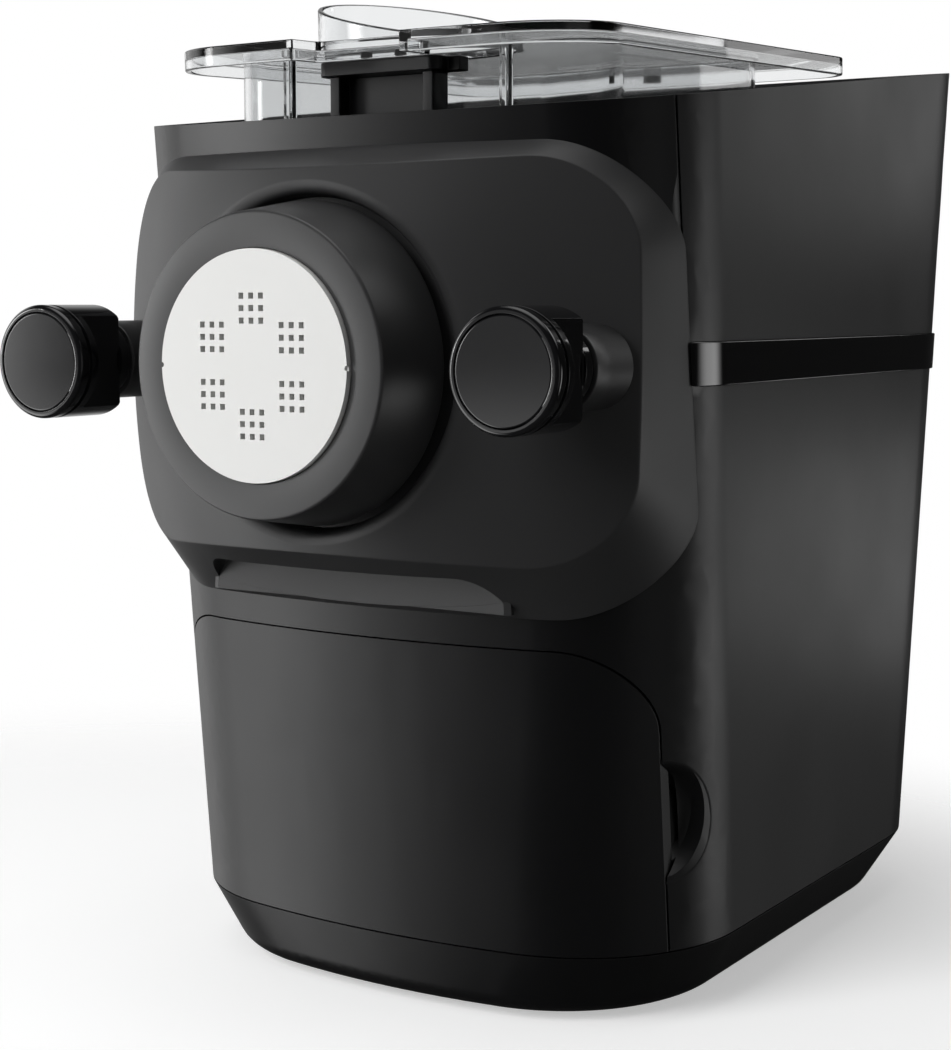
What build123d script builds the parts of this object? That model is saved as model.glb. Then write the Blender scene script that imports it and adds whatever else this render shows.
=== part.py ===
from build123d import *
import os
from math import acos, cos, hypot, pi, radians, sin, tan

# Countertop electric pasta maker. Millimetres, +Z up, the front faces -Y, +X to the right.
# While modelling, y = 0 is the front face of the shaping disc, and the feet stand on GROUND_Z.
# On saving, every piece moves forward by half the depth and up, so the origin is under the middle of
# the machine, on the worktop.

# ---------------------------------------------------------------- driving dimensions
GROUND_Z = -6.0            # surface the feet stand on
AXIS_Z = 236.0             # extrusion axis

SEAM_Z = 22.7              # joint between the base tray and the body
TOP_Z = 366.0              # upper end of the tapering body, before the slanted rim cuts it
HALF_WIDTH_LOW = 115.7     # the body is slightly wider at the top
HALF_WIDTH_TOP = 121.2
FRONT_LOW = 68.0           # foremost line of the body, leaning forward
FRONT_TOP = 49.0
BACK_LOW = 364.0           # rearmost line of the body, leaning back
BACK_TOP = 391.0
FRONT_BOW = 18.5           # how far the front bulges between its corners
CORNER_LOW = 67.0          # front corner radius in plan
CORNER_TOP = 50.0
BACK_CORNER = 63.0
WALL = 3.0
RIM_FRONT_Z = 323.0        # height of the slanted rim above the front line
RIM_TILT = 6.8             # the rim climbs to the back, degrees
SEAM_GAP = 0.5             # visible joint line between shells

CLEAR = 0.2                # between fixed pieces that touch in the real machine
CUT = 1.0                  # how far a cutting tool runs past a face

FOOT_HEIGHT = 2.5
FOOT_RADIUS = 13.0
FOOT_STEM = 5.0
FOOT_X = 68.0
FOOT_FRONT_Y = 135.0
FOOT_BACK_Y = 305.0
BASE_WALL = 3.0
BASE_FRONT_INSET = 6.6     # the tray narrows downwards, more at its sides and back
BASE_SIDE_INSET = 13.7
BASE_CORNER = 68.5
BASE_ROUNDING = 12.0
BASE_SCREW_X = 50.0
BASE_SCREW_INSET = 20.0    # from the feet, towards the middle
SCREW_SEAT_Z = 10.0
CELL_HEIGHT = 5.0          # load cells
CELL_LENGTH = 34.0
CELL_WIDTH = 14.0
CELL_SLOT = 2.0

VENT_ROWS = 5
VENT_LOW_Z = 84.0
VENT_PITCH = 9.0
VENT_HEIGHT = 4.0
VENT_HALF = 45.0
SOCKET_X = -30.0           # mains socket in the back wall
SOCKET_Z = 60.0
SOCKET_WIDTH = 27.0
SOCKET_HEIGHT = 20.0
SOCKET_FLANGE = 2.5
SOCKET_LENGTH = 24.0
SOCKET_EDGE = 2.0
SOCKET_PINS = ((-7.0, -2.0), (0.0, 2.0), (7.0, -2.0))
PIN_INSET = 6.5            # the pins end this far inside the socket's mouth

BAND_HEIGHT = 15.4         # gloss band round the sides and back
BAND_PROUD = 1.2
BAND_DEPTH = 1.2
SHELL_SPLIT_Y = 184.0      # the front pieces lie before this

PANEL_HALF = 115.7         # front panel: outline of its rim
PANEL_TOP = 76.2           # above the extrusion axis
PANEL_BOTTOM = 89.3        # below the extrusion axis
PANEL_CORNER = 37.5
FACE_HALF = 112.7          # domed face: half width of the crease round it
FACE_TOP = 68.0
FACE_BOTTOM = 66.5
FACE_LIFT = 4.0            # the crease is this much further out above and below at its ends
FLARE_CORNER = 34.0
DOME_Y = 22.5              # foremost point of the face
FACE_BOW = 44.7            # the side edges lie this far behind it
FACE_POWER = 2.4
FACE_ROLL = 8.0            # and the upper and lower edges this far
RIM_MIDDLE_Y = (52.0, 61.0)     # where the flare meets the body, above and below
RIM_SIDE_Y = 100.0              # and at the sides
FLARE_BACK_Y = 130.0
PANEL_WALL = 3.5
PANEL_GAP = 0.4
WELL_RADIUS = 58.5         # well round the nut, with a sloping lip
WELL_FLOOR_Y = 38.0
WELL_LIP_RADIUS = 63.0
WELL_LIP_Y = (28.0, 36.0)
FRAME_HALF = 114.5         # front frame: width above the panel
FRAME_HIDDEN_HALF = 106.0  # and behind it
FRAME_STEP_Z = 276.0
FRAME_INSET = 18.0         # its lower edge lies this far above the panel's
GROOVE_HALF = 64.0         # finger groove in the panel's lower flare
GROOVE_TOP = 73.5          # below the extrusion axis
GROOVE_HEIGHT = 60.0
GROOVE_CORNER = 12.0
GROOVE_FLOOR_Y = 58.4
GROOVE_BACKING = 3.0

DISC_RADIUS = 39.5
DISC_THICK = 6.0
DISC_STEP = 4.2            # the disc's flange starts behind the nut's lip
DISC_FLANGE = 42.3
HOLE = 2.05                # square holes in groups of nine
HOLE_PITCH = 4.17
HOLE_CIRCLE = 19.55
NOTCH_RADIUS = 0.9

NUT_FRONT_Y = 1.9
NUT_DEPTH = 30.1
NUT_FRONT_RADIUS = 52.3
NUT_BACK_RADIUS = 57.0
NUT_LIP = 2.1
RUN_GAP = 0.3              # between curved faces that move past each other
FIT_GAP = 0.05             # radial running clearance of shafts

TUBE_HEAD_RADIUS = 46.0
TUBE_HEAD_Y = 7.6
TUBE_HEAD_BACK = 30.0
TUBE_RADIUS = 31.0
TUBE_BORE = 27.5
TUBE_FLANGE = 6.0          # width of the flange against the chamber
TUBE_FLANGE_THICK = 4.0
SEAL_THICK = 1.2

SCREW_CORE = 9.0
SCREW_PITCH = 22.0
FLIGHT_THICK = 4.0
SCREW_FRONT_Y = 14.0
SCREW_GAP = 0.6            # between the flight and the tube

KNOB_X = 98.7
KNOB_RADIUS = 20.6
KNOB_FACE_RADIUS = 18.0
KNOB_FRONT_Y = 0.6
KNOB_BACK_Y = 30.0
KNOB_FLAT = 12.3           # half distance between the two grip flats
KNOB_FLAT_Y = 10.0
KNOB_GROOVE_Y = 5.2
KNOB_GROOVE = 1.6
KNOB_STEM_Y = 12.0         # the stem's end inside the knob
CAP_THICK = 1.6
NECK_RADIUS = 13.6
NECK_BACK_Y = 34.8
BOSS_RADIUS = 14.6
BOSS_FRONT_Y = 35.6
STEM_RADIUS = 8.0
STEM_BACK_Y = 104.0
LUG_HALF = 11.0            # cross lug at the stem's end
LUG_THICK = 5.0
SOCKET_BORE = 12.5
SOCKET_WALL = 2.0

CHAMBER_HALF = 83.0        # outer half width
CHAMBER_FRONT_Y = 87.0
CHAMBER_BACK_Y = 236.0
CHAMBER_WALL = 3.0
CHAMBER_CORNER = 22.0
CHAMBER_RIB_X = 48.0
DECK_DROP = 5.0            # the deck lies this far below the rim
DECK_THICK = 3.0

LID_FRONT_Y = 54.0
LID_BACK_Y = 299.0
LID_HALF = 92.8
LID_FRONT_Z = 351.5        # top of the lid at its front edge
LID_TILT = 2.3
LID_DEPTH = 7.5            # height of the lid's rim
LID_PLATE = 3.0
LID_RIM = 2.5
LID_CORNER = 34.0
LID_BOW = 4.0
LID_NOTCH_HALF = 23.0
LID_NOTCH_BACK_Y = 70.0
INLET_X = -13.0            # centre of the oval pour inlet
INLET_Y = 122.0
INLET_HALF = 43.0
INLET_DEPTH = 30.0
INLET_WALL = 2.2
INLET_RISE = 10.7          # height of its wall at the centre
INLET_FALL = 11.5          # the wall's edge falls to the right, degrees
INLET_CLIMB = 8.5          # and climbs to the back

HANDLE_HALF = 26.5
HANDLE_FRONT_Y = 73.5
HANDLE_THICK = 5.2
HANDLE_LEG_X = 20.5
HANDLE_LEG = 4.4

DRAWER_HALF = 106.0
DRAWER_TOP_Z = 135.2
DRAWER_CORNER = 30.0
TRAY_HALF = 96.0
TRAY_BACK_Y = 232.0
TRAY_BOTTOM_Z = 37.0
TRAY_TOP_Z = 122.0
TRAY_WALL = 2.5
DISH_Z = 71.7              # finger dishes beside the drawer
DISH_OUTER = 22.0
DISH_FLOOR_SHARE = 0.64
DISH_DEPTH = 8.0
DISH_INNER_X = 97.0
HOUSING_HALF = 104.0
HOUSING_WALL = 2.5
HOUSING_FRONT_Y = 124.0
HOUSING_FLOOR_Z = 31.0
HOUSING_BOSS = 4.0
RAIL_WIDTH = 4.0
RAIL_HEIGHT = 5.0

BULKHEAD_Y = 242.0
BULKHEAD_THICK = 4.0
FLOOR_Z = 139.0            # chassis floor over the drawer
FLOOR_THICK = 4.0

MODULE_FAST = 1.25         # motor pinion and the idler's large gear
MODULE_SLOW = 1.75         # idler pinion and output gear
TEETH_MOTOR = 12
TEETH_IDLER_LARGE = 60
TEETH_IDLER_SMALL = 14
TEETH_OUTPUT = 56
BACKLASH = 0.22            # share of the module
GEAR_WIDTH_SLOW = 14.0
GEAR_WIDTH_FAST = 9.0
GEAR_SPACE = 2.0
GEARBOX_WALL = 4.0
GEARBOX_CLEAR = 3.0
SHAFT_RADIUS = 8.0
SEAL_RING = 4.0            # wall of the shaft seal
DRIVE_SQUARE = 9.0         # square ends that turn the paddle and the screw
SQUARE_GAP = 0.1
SCREW_TAIL = 16.0          # length of the screw's square end
DRIVE_TAIL = 24.0          # depth of the hole for the shaft's square end
HUB_RADIUS = 11.0
PADDLE_FRONT_Y = 104.0
PADDLE_REACH = 74.0
PADDLE_BLADE = 78.0
ARM_WIDTH = 13.0
ARM_THICK = 6.0
ARM_INSET = 4.0
IDLER_PIN_RADIUS = 4.0
MOTOR_SHAFT_RADIUS = 3.0
MOTOR_ANGLE = 40.0         # direction from the idler to the motor, from straight down
BUSH_WALL = 4.0
BUSH_GAP = 0.5             # between a bush and the gear beside it
MOTOR_RADIUS = 35.0
MOTOR_LENGTH = 62.0
MOTOR_WALL = 2.0
MOTOR_CAP = 5.0
ROTOR_RADIUS = 22.0
ROTOR_FRONT = 12.0         # from the motor's front to the core
ROTOR_BACK = 14.0
MAGNET_THICK = 7.0
EAR_OUT = 3.5              # the cover screws sit this far outside the gearbox

GLASS_Y = 340.0            # middle of the control strip
GLASS_HALF = 70.0
GLASS_DEPTH = 44.0
GLASS_THICK = 2.0
BUTTON_RADIUS = 7.0
BUTTON_TRAVEL = 1.2
BUTTON_PITCH = 28.0
BUTTON_PROUD = 0.8
BUTTON_FLANGE = 1.6
BUTTON_RING = 2.5
BUTTON_NAMES = ("minus_button", "power_button", "start_button", "plus_button")
BOARD_DROP = 9.0           # from the deck down to the control board
BOARD_THICK = 1.6
BOARD_X = 100.0            # power board
BOARD_FRONT_Y = 258.0
BOARD_LENGTH = 56.0
BOARD_HEIGHT = 90.0
BOARD_PARTS = ((12.0, 18.0, 16.0), (36.0, 40.0, 12.0), (20.0, 62.0, 10.0))

SCREW_HEAD = 4.0
SCREW_SHANK = 2.0

# ---------------------------------------------------------------- values that follow
RIM_SLOPE = tan(radians(RIM_TILT))
BACK_SLOPE = (BACK_TOP - BACK_LOW) / (TOP_Z - SEAM_Z)


def mix(low, top, height):
    """Value at a height, straight between the seam and the top."""
    return low + (top - low) * (height - SEAM_Z) / (TOP_Z - SEAM_Z)


RIM_FRONT_Y = mix(FRONT_LOW, FRONT_TOP, RIM_FRONT_Z)
# The rearmost edge is where the slanted rim meets the leaning back.
RIM_ZERO_Z = RIM_FRONT_Z - RIM_SLOPE * RIM_FRONT_Y      # height of the rim's plane at y = 0
DEPTH = (BACK_LOW + BACK_SLOPE * (RIM_ZERO_Z - SEAM_Z)) / (1 - BACK_SLOPE * RIM_SLOPE)
FAR = 3 * DEPTH            # larger than the machine, for cutting tools

TRAY_LOW_Z = GROUND_Z + FOOT_HEIGHT
TRAY_FLOOR_Z = TRAY_LOW_Z + BASE_WALL
CELL_LOW_Z = TRAY_FLOOR_Z + 0.5
NUT_BACK_Y = NUT_FRONT_Y + NUT_DEPTH
LIP_BACK_Y = NUT_FRONT_Y + NUT_LIP
BAND_LOW_Z = AXIS_Z - BAND_HEIGHT / 2
BAND_HIGH_Z = AXIS_Z + BAND_HEIGHT / 2
GEARBOX_Y = BULKHEAD_Y + BULKHEAD_THICK
GEARBOX_INNER_Y = GEARBOX_Y + GEARBOX_WALL
SLOW_Y = GEARBOX_INNER_Y + GEAR_SPACE
FAST_Y = SLOW_Y + GEAR_WIDTH_SLOW + GEAR_SPACE
COVER_Y = FAST_Y + GEAR_WIDTH_FAST + GEAR_SPACE
COVER_BACK_Y = COVER_Y + GEARBOX_WALL
CENTRES_SLOW = MODULE_SLOW * (TEETH_IDLER_SMALL + TEETH_OUTPUT) / 2
CENTRES_FAST = MODULE_FAST * (TEETH_MOTOR + TEETH_IDLER_LARGE) / 2
IDLER_Z = AXIS_Z - CENTRES_SLOW
MOTOR_X = CENTRES_FAST * sin(radians(MOTOR_ANGLE))
MOTOR_Z = IDLER_Z - CENTRES_FAST * cos(radians(MOTOR_ANGLE))
MOTOR_FRONT_Y = COVER_BACK_Y + CLEAR
MOTOR_BACK_Y = MOTOR_FRONT_Y + MOTOR_LENGTH
DOWN = -90.0                                   # direction from the output gear to the idler
TO_MOTOR = DOWN + MOTOR_ANGLE                  # direction from the idler to the motor
OUTPUT_CASE = MODULE_SLOW * (TEETH_OUTPUT / 2 + 1) + GEARBOX_CLEAR + GEARBOX_WALL
IDLER_CASE = MODULE_FAST * (TEETH_IDLER_LARGE / 2 + 1) + GEARBOX_CLEAR + GEARBOX_WALL
MOTOR_CASE = MODULE_FAST * (TEETH_MOTOR / 2 + 1) + GEARBOX_CLEAR + GEARBOX_WALL + 6


def ring_of_ears(radius, z, angles):
    """Screw positions round a gear, at angles in degrees from +X towards +Z."""
    reach = radius + EAR_OUT
    return [(reach * cos(radians(turn)), z + reach * sin(radians(turn))) for turn in angles]


COVER_SCREWS = ring_of_ears(OUTPUT_CASE, AXIS_Z, (0, 60, 120, 180))
COVER_SCREWS += ring_of_ears(IDLER_CASE, IDLER_Z, (190, 240))
FEET = [(side * FOOT_X, y) for side in (-1, 1) for y in (FOOT_FRONT_Y, FOOT_BACK_Y)]
BASE_SCREWS = [
    (side * BASE_SCREW_X, y)
    for side in (-1, 1)
    for y in (FOOT_FRONT_Y + BASE_SCREW_INSET, FOOT_BACK_Y - BASE_SCREW_INSET)
]
HOUSING_BACK_Y = TRAY_BACK_Y + 4.0
BUTTON_X = [(index - 1.5) * BUTTON_PITCH for index in range(len(BUTTON_NAMES))]


# ---------------------------------------------------------------- helpers
def block(x0, x1, y0, y1, z0, z1):
    """Box between two corners."""
    return Pos((x0 + x1) / 2, (y0 + y1) / 2, (z0 + z1) / 2) * Box(x1 - x0, y1 - y0, z1 - z0)


def rod(radius, y0, y1, x=0.0, z=AXIS_Z):
    """Round bar along Y."""
    return Pos(x, (y0 + y1) / 2, z) * Rot(-90, 0, 0) * Cylinder(radius, y1 - y0)


def taper(radius0, radius1, y0, y1, x=0.0, z=AXIS_Z):
    """Cone frustum along Y."""
    return Pos(x, (y0 + y1) / 2, z) * Rot(-90, 0, 0) * Cone(radius0, radius1, y1 - y0)


def pipe(outer, inner, y0, y1, x=0.0, z=AXIS_Z):
    """Hollow bar along Y."""
    return rod(outer, y0, y1, x, z) - rod(inner, y0 - 1, y1 + 1, x, z)


def post(radius, z0, z1, x, y):
    """Round bar along Z."""
    return Pos(x, y, (z0 + z1) / 2) * Cylinder(radius, z1 - z0)


def front_plane(y):
    """Plane facing the front, with its origin on the extrusion axis."""
    return Plane(origin=(0, y, AXIS_Z), x_dir=(1, 0, 0), z_dir=(0, -1, 0))


def prism(face, y0, y1):
    """Flat outline seen from the front, made solid from y0 to y1."""
    return extrude(front_plane(y1) * face, y1 - y0)


def front_outline(half, low, high, corner):
    """Rounded rectangle in the front view; low and high are heights from the extrusion axis."""
    return Pos(0, (low + high) / 2) * RectangleRounded(2 * half, high - low, corner)


def both_sides(shape):
    """A piece and its mirror image across the middle of the machine."""
    return [shape, mirror(shape, Plane.YZ)]


def plan_outline(half, front, back, corner, back_corner):
    """Plan outline: bowed front, straight sides and back, rounded corners."""
    side = front + FRONT_BOW
    edges = ThreePointArc((-half, side), (0, front), (half, side))
    edges += Polyline((half, side), (half, back), (-half, back), (-half, side))
    face = make_face(edges)
    by_depth = face.vertices().sort_by(Axis.Y)
    face = fillet(by_depth[:2], corner)
    return fillet(face.vertices().sort_by(Axis.Y)[-2:], back_corner)


def body_outline(height, grow=0.0):
    """Plan of the body at a height."""
    half = mix(HALF_WIDTH_LOW, HALF_WIDTH_TOP, height) + grow
    front = mix(FRONT_LOW, FRONT_TOP, height) - grow
    back = mix(BACK_LOW, BACK_TOP, height) + grow
    corner = mix(CORNER_LOW, CORNER_TOP, height) + grow
    return plan_outline(half, front, back, corner, BACK_CORNER + grow)


def base_outline(inset=0.0):
    """Plan of the base tray's lower edge, before it is rounded."""
    half = HALF_WIDTH_LOW - BASE_SIDE_INSET - inset
    front = FRONT_LOW + BASE_FRONT_INSET + inset
    back = BACK_LOW - BASE_SIDE_INSET - inset
    return plan_outline(half, front, back, BASE_CORNER - inset, BACK_CORNER - inset)


def envelope(grow=0.0, low=SEAM_Z, high=TOP_Z):
    """The body's tapering outer form, grown or shrunk on all sides."""
    sections = [Plane.XY.offset(height) * body_outline(height, grow) for height in (low, high)]
    return loft(sections, ruled=True)


def rim_plane(drop=0.0, y=RIM_FRONT_Y):
    """Plane of the slanted rim, lowered by a distance, with its origin at depth y."""
    tilt = radians(RIM_TILT)
    height = RIM_FRONT_Z + RIM_SLOPE * (y - RIM_FRONT_Y)
    origin = (0, y + drop * sin(tilt), height - drop * cos(tilt))
    return Plane(origin=origin, x_dir=(1, 0, 0), z_dir=(0, -sin(tilt), cos(tilt)))


def above_rim(drop=0.0):
    """Everything above the slanted rim, or above a plane under it."""
    return extrude(rim_plane(drop) * Rectangle(FAR, FAR), FAR / 2)


def under_rim(drop, thick):
    """Slab parallel to the slanted rim."""
    return extrude(rim_plane(drop) * Rectangle(FAR, FAR), -thick)


def drawer_window(grow=0.0):
    """Front view outline of the drawer front, through the front of the body."""
    low = SEAM_Z - AXIS_Z - DRAWER_CORNER * 2
    high = DRAWER_TOP_Z - AXIS_Z + grow
    return prism(front_outline(DRAWER_HALF + grow, low, high, DRAWER_CORNER), -FAR, SHELL_SPLIT_Y)


def frame_window(grow=0.0):
    """Front view outline of the front frame, behind the panel and up to the rim."""
    half = FRAME_HALF + grow
    hidden = FRAME_HIDDEN_HALF + grow
    window = block(-half, half, -FAR, SHELL_SPLIT_Y, FRAME_STEP_Z - grow, FAR)
    window += block(-hidden, hidden, -FAR, SHELL_SPLIT_Y, AXIS_Z - PANEL_BOTTOM + FRAME_INSET - grow, FAR)
    for side in (-1, 1):
        window += rod(SOCKET_BORE + SOCKET_WALL + grow, -FAR, SHELL_SPLIT_Y, side * KNOB_X)
    return window


# ---------------------------------------------------------------- body
def make_body_shell():
    """Sides, back and the strip between panel and drawer."""
    shell = envelope() - envelope(-WALL)
    shell -= above_rim()
    shell -= frame_window(SEAM_GAP)
    shell -= drawer_window(SEAM_GAP)
    shell -= (envelope(WALL) - envelope(-BAND_DEPTH - SEAM_GAP / 2)) & band_zone(0.1)
    backing = envelope(-BAND_DEPTH - SEAM_GAP / 2) - envelope(-WALL - 1.5)
    backing &= block(-FAR, FAR, SHELL_SPLIT_Y - 60, FAR, BAND_LOW_Z - 4, BAND_HIGH_Z + 4)
    shell += backing
    behind_drawer = envelope(-WALL - SEAM_GAP) - block(-DISH_INNER_X, DISH_INNER_X, 0, FAR, 0, FAR)
    beside_drawer = envelope(-WALL / 2) - drawer_window(SEAM_GAP)
    for side in (-1, 1):
        cup = dish(side, DISH_OUTER, WALL) & (behind_drawer + beside_drawer)
        shell = shell + cup - dish(side, DISH_OUTER)
    for row in range(VENT_ROWS):
        height = VENT_LOW_Z + row * VENT_PITCH
        shell -= block(-VENT_HALF, VENT_HALF, DEPTH / 2, FAR, height, height + VENT_HEIGHT)
    return shell - socket_block(RUN_GAP)


def corner_centre(height):
    """Centre of the front right corner's rounding in plan at a height."""
    half = mix(HALF_WIDTH_LOW, HALF_WIDTH_TOP, height)
    corner = mix(CORNER_LOW, CORNER_TOP, height)
    bow = (half ** 2 + FRONT_BOW ** 2) / (2 * FRONT_BOW)
    x = half - corner
    return x, mix(FRONT_LOW, FRONT_TOP, height) + bow - ((bow - corner) ** 2 - x ** 2) ** 0.5


def dish(side, radius, grow=0.0):
    """Finger dish at the drawer's edge: a cone sunk square into the rounded corner, grown by a wall."""
    corner = mix(CORNER_LOW, CORNER_TOP, DISH_Z)
    x, y = corner_centre(DISH_Z)
    across = (DRAWER_HALF - x) / corner
    along = (1 - across ** 2) ** 0.5
    surface = Plane(
        origin=(side * DRAWER_HALF, y - corner * along, DISH_Z),
        x_dir=(0, 0, 1),
        z_dir=(side * across, -along, 0),
    )
    depth = DISH_DEPTH + grow
    cone = Cone(radius * DISH_FLOOR_SHARE + grow, radius + grow, DISH_DEPTH + 2 * grow)
    rise = Cylinder(radius + grow, DISH_DEPTH)
    return surface * (Pos(0, 0, grow - depth / 2) * cone + Pos(0, 0, grow + DISH_DEPTH / 2) * rise)


def make_front_frame():
    """Shell behind the panel with the tube opening and the sockets of the two locking stems."""
    wall = mix(FRONT_LOW, FRONT_TOP, AXIS_Z)
    frame = (envelope() - envelope(-WALL)) & frame_window()
    frame -= above_rim()
    frame -= rod(TUBE_HEAD_RADIUS + 2, 0, CHAMBER_FRONT_Y)
    for side in (-1, 1):
        barrel = rod(SOCKET_BORE + SOCKET_WALL, wall, STEM_BACK_Y + WALL, side * KNOB_X)
        frame += barrel & envelope(-WALL / 2)
        frame -= rod(SOCKET_BORE, 0, STEM_BACK_Y + CUT, side * KNOB_X)
    return frame


def make_side_band():
    """Gloss band set into the sides and back."""
    return (envelope(BAND_PROUD) - envelope(-BAND_DEPTH)) & band_zone()


def band_zone(grow=0.0):
    """Height range of the band, from the panel's rim round the back to the other rim."""
    half = PANEL_HALF + SEAM_GAP - grow
    zone = block(-FAR, FAR, 0, FAR, BAND_LOW_Z - grow, BAND_HIGH_Z + grow)
    return zone - block(-half, half, -FAR, SHELL_SPLIT_Y, 0, FAR)


def make_base_tray():
    """Tray that closes the body below, with a rounded lower edge."""
    top = SEAM_Z - SEAM_GAP
    upper = Plane.XY.offset(top) * body_outline(SEAM_Z)
    lower = Plane.XY.offset(TRAY_LOW_Z) * base_outline()
    tray = loft([lower, upper], ruled=True)
    tray = fillet(tray.faces().sort_by(Axis.Z)[0].edges(), BASE_ROUNDING)
    inner_low = Plane.XY.offset(TRAY_FLOOR_Z) * base_outline(BASE_ROUNDING / 2)
    inner_top = Plane.XY.offset(top + CUT) * body_outline(SEAM_Z, -BASE_WALL)
    tray -= loft([inner_low, inner_top], ruled=True)
    heights = (SEAM_Z - 3, SEAM_Z + 6)
    tongue = envelope(-WALL - CLEAR, *heights) - envelope(-WALL - CLEAR - 2, *heights)
    tongue -= drawer_window(3)
    tray += tongue & block(-FAR, FAR, 0, FAR, top - 3, SEAM_Z + 4)
    for x, y in FEET:
        tray -= post(FOOT_STEM + RUN_GAP, GROUND_Z, SEAM_Z, x, y)
    for x, y in BASE_SCREWS:
        tray += post(SCREW_HEAD + 2, TRAY_LOW_Z + CUT, HOUSING_FLOOR_Z - HOUSING_BOSS - CLEAR, x, y)
        tray -= post(SCREW_HEAD + 2 * CLEAR, GROUND_Z, SCREW_SEAT_Z, x, y)
        tray -= post(SCREW_SHANK + CLEAR, 0, SEAM_Z * 2, x, y)
    return tray


def make_feet():
    """Rubber feet, each with a stem up to its load cell."""
    feet = []
    for x, y in FEET:
        pad = post(FOOT_RADIUS, GROUND_Z, TRAY_LOW_Z - 0.1, x, y)
        feet.append(pad + post(FOOT_STEM, GROUND_Z, CELL_LOW_Z, x, y))
    return feet


def make_load_cells():
    """Weighing bars in the base, one over each foot."""
    cells = []
    for x, y in FEET:
        bar = block(x - CELL_WIDTH / 2, x + CELL_WIDTH / 2, y - CELL_LENGTH / 2, y + CELL_LENGTH / 2,
                    CELL_LOW_Z, CELL_LOW_Z + CELL_HEIGHT)
        slot = block(x - CELL_SLOT, x + CELL_SLOT, y - CELL_LENGTH / 4, y + CELL_LENGTH / 4, GROUND_Z, SEAM_Z)
        cells.append(bar - slot)
    return cells


def make_base_screws():
    """Screws up through the base tray into the bosses of the drawer housing."""
    screws = []
    for x, y in BASE_SCREWS:
        head = post(SCREW_HEAD, SCREW_SEAT_Z - 3, SCREW_SEAT_Z, x, y)
        head -= Pos(x, y, SCREW_SEAT_Z - 3) * Box(5, 1, 2)
        screws.append(head + post(SCREW_SHANK, SCREW_SEAT_Z, HOUSING_FLOOR_Z - 0.5, x, y))
    return screws


# ---------------------------------------------------------------- chassis and drawer
def make_chassis():
    """Inner frame: floor over the drawer, saddles under the chamber and the gearbox bulkhead."""
    floor = envelope(-WALL - 0.5) & block(-FAR, FAR, 0, FAR, FLOOR_Z, FLOOR_Z + FLOOR_THICK)
    floor &= block(-FAR, FAR, STEM_BACK_Y + 8, FAR, 0, FAR)
    bulkhead = block(-CHAMBER_HALF, CHAMBER_HALF, BULKHEAD_Y, GEARBOX_Y, FLOOR_Z, RIM_FRONT_Z - 4)
    chassis = floor + bulkhead
    for y in (CHAMBER_FRONT_Y + 40, CHAMBER_BACK_Y - 30):
        saddle = block(-CHAMBER_HALF + 14, CHAMBER_HALF - 14, y, y + 4, FLOOR_Z, AXIS_Z - 40)
        chassis += saddle - rod(CHAMBER_HALF + RUN_GAP, 0, DEPTH)
    chassis -= rod(SHAFT_RADIUS + BUSH_WALL + 2, 0, DEPTH)
    chassis -= rod(MOTOR_RADIUS + 2, COVER_Y - 1, FAR, MOTOR_X, MOTOR_Z)
    chassis -= gearbox_form(RUN_GAP, GEARBOX_Y, COVER_BACK_Y + 3)
    return chassis


def make_drawer_housing():
    """Fixed sleeve that the drawer runs in, closed at the back and open at the front."""
    top = FLOOR_Z - CLEAR
    low = HOUSING_FLOOR_Z
    outer = block(-HOUSING_HALF, HOUSING_HALF, HOUSING_FRONT_Y, HOUSING_BACK_Y, low, top)
    inner = block(-HOUSING_HALF + HOUSING_WALL, HOUSING_HALF - HOUSING_WALL, 0, HOUSING_BACK_Y - HOUSING_WALL,
                  low + HOUSING_WALL, FAR)
    housing = outer - inner
    rear = block(-HOUSING_HALF, HOUSING_HALF, HOUSING_BACK_Y - 1, FOOT_BACK_Y + 10, low, low + HOUSING_WALL)
    housing += rear & envelope(-WALL - 1)
    for x, y in BASE_SCREWS:
        housing += post(SCREW_HEAD + 1, low - HOUSING_BOSS, low + 0.5, x, y)
        housing -= post(SCREW_SHANK, low - HOUSING_BOSS - 1, low + HOUSING_WALL - 1, x, y)
    return housing & envelope(-WALL - 0.5, SEAM_Z - 10, TOP_Z)


def make_drawer_rails():
    """Rails on the housing walls that carry the tray's side flanges."""
    inner = HOUSING_HALF - HOUSING_WALL - CLEAR
    top = TRAY_TOP_Z - TRAY_WALL - RUN_GAP
    rail = block(TRAY_HALF + RUN_GAP, inner, HOUSING_FRONT_Y, TRAY_BACK_Y, top - RAIL_HEIGHT, top)
    return both_sides(rail)


def make_drawer_front():
    """Curved drawer front, part of the body's outer form."""
    return (envelope() - envelope(-WALL)) & drawer_window()


def make_drawer_tray():
    """Tray behind the drawer front, for the shaping discs, with side flanges that run on the rails."""
    form = envelope(-WALL - CLEAR)
    outer = form & block(-TRAY_HALF, TRAY_HALF, 0, TRAY_BACK_Y, TRAY_BOTTOM_Z, TRAY_TOP_Z)
    inner = envelope(-WALL - TRAY_WALL) & block(
        -TRAY_HALF + TRAY_WALL, TRAY_HALF - TRAY_WALL, 0, TRAY_BACK_Y - TRAY_WALL,
        TRAY_BOTTOM_Z + TRAY_WALL, FAR)
    tray = outer - inner
    flange = block(TRAY_HALF - 1, TRAY_HALF + RAIL_WIDTH, HOUSING_FRONT_Y + 2, TRAY_BACK_Y,
                   TRAY_TOP_Z - TRAY_WALL, TRAY_TOP_Z)
    for piece in both_sides(flange):
        tray += piece
    return tray


# ---------------------------------------------------------------- front panel, nut and disc
def face_depth(x, height):
    """Depth of the panel's domed face at a place in the front view, from the extrusion axis."""
    return DOME_Y + FACE_BOW * abs(x / FACE_HALF) ** FACE_POWER + FACE_ROLL * (height / FACE_TOP) ** 2


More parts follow.
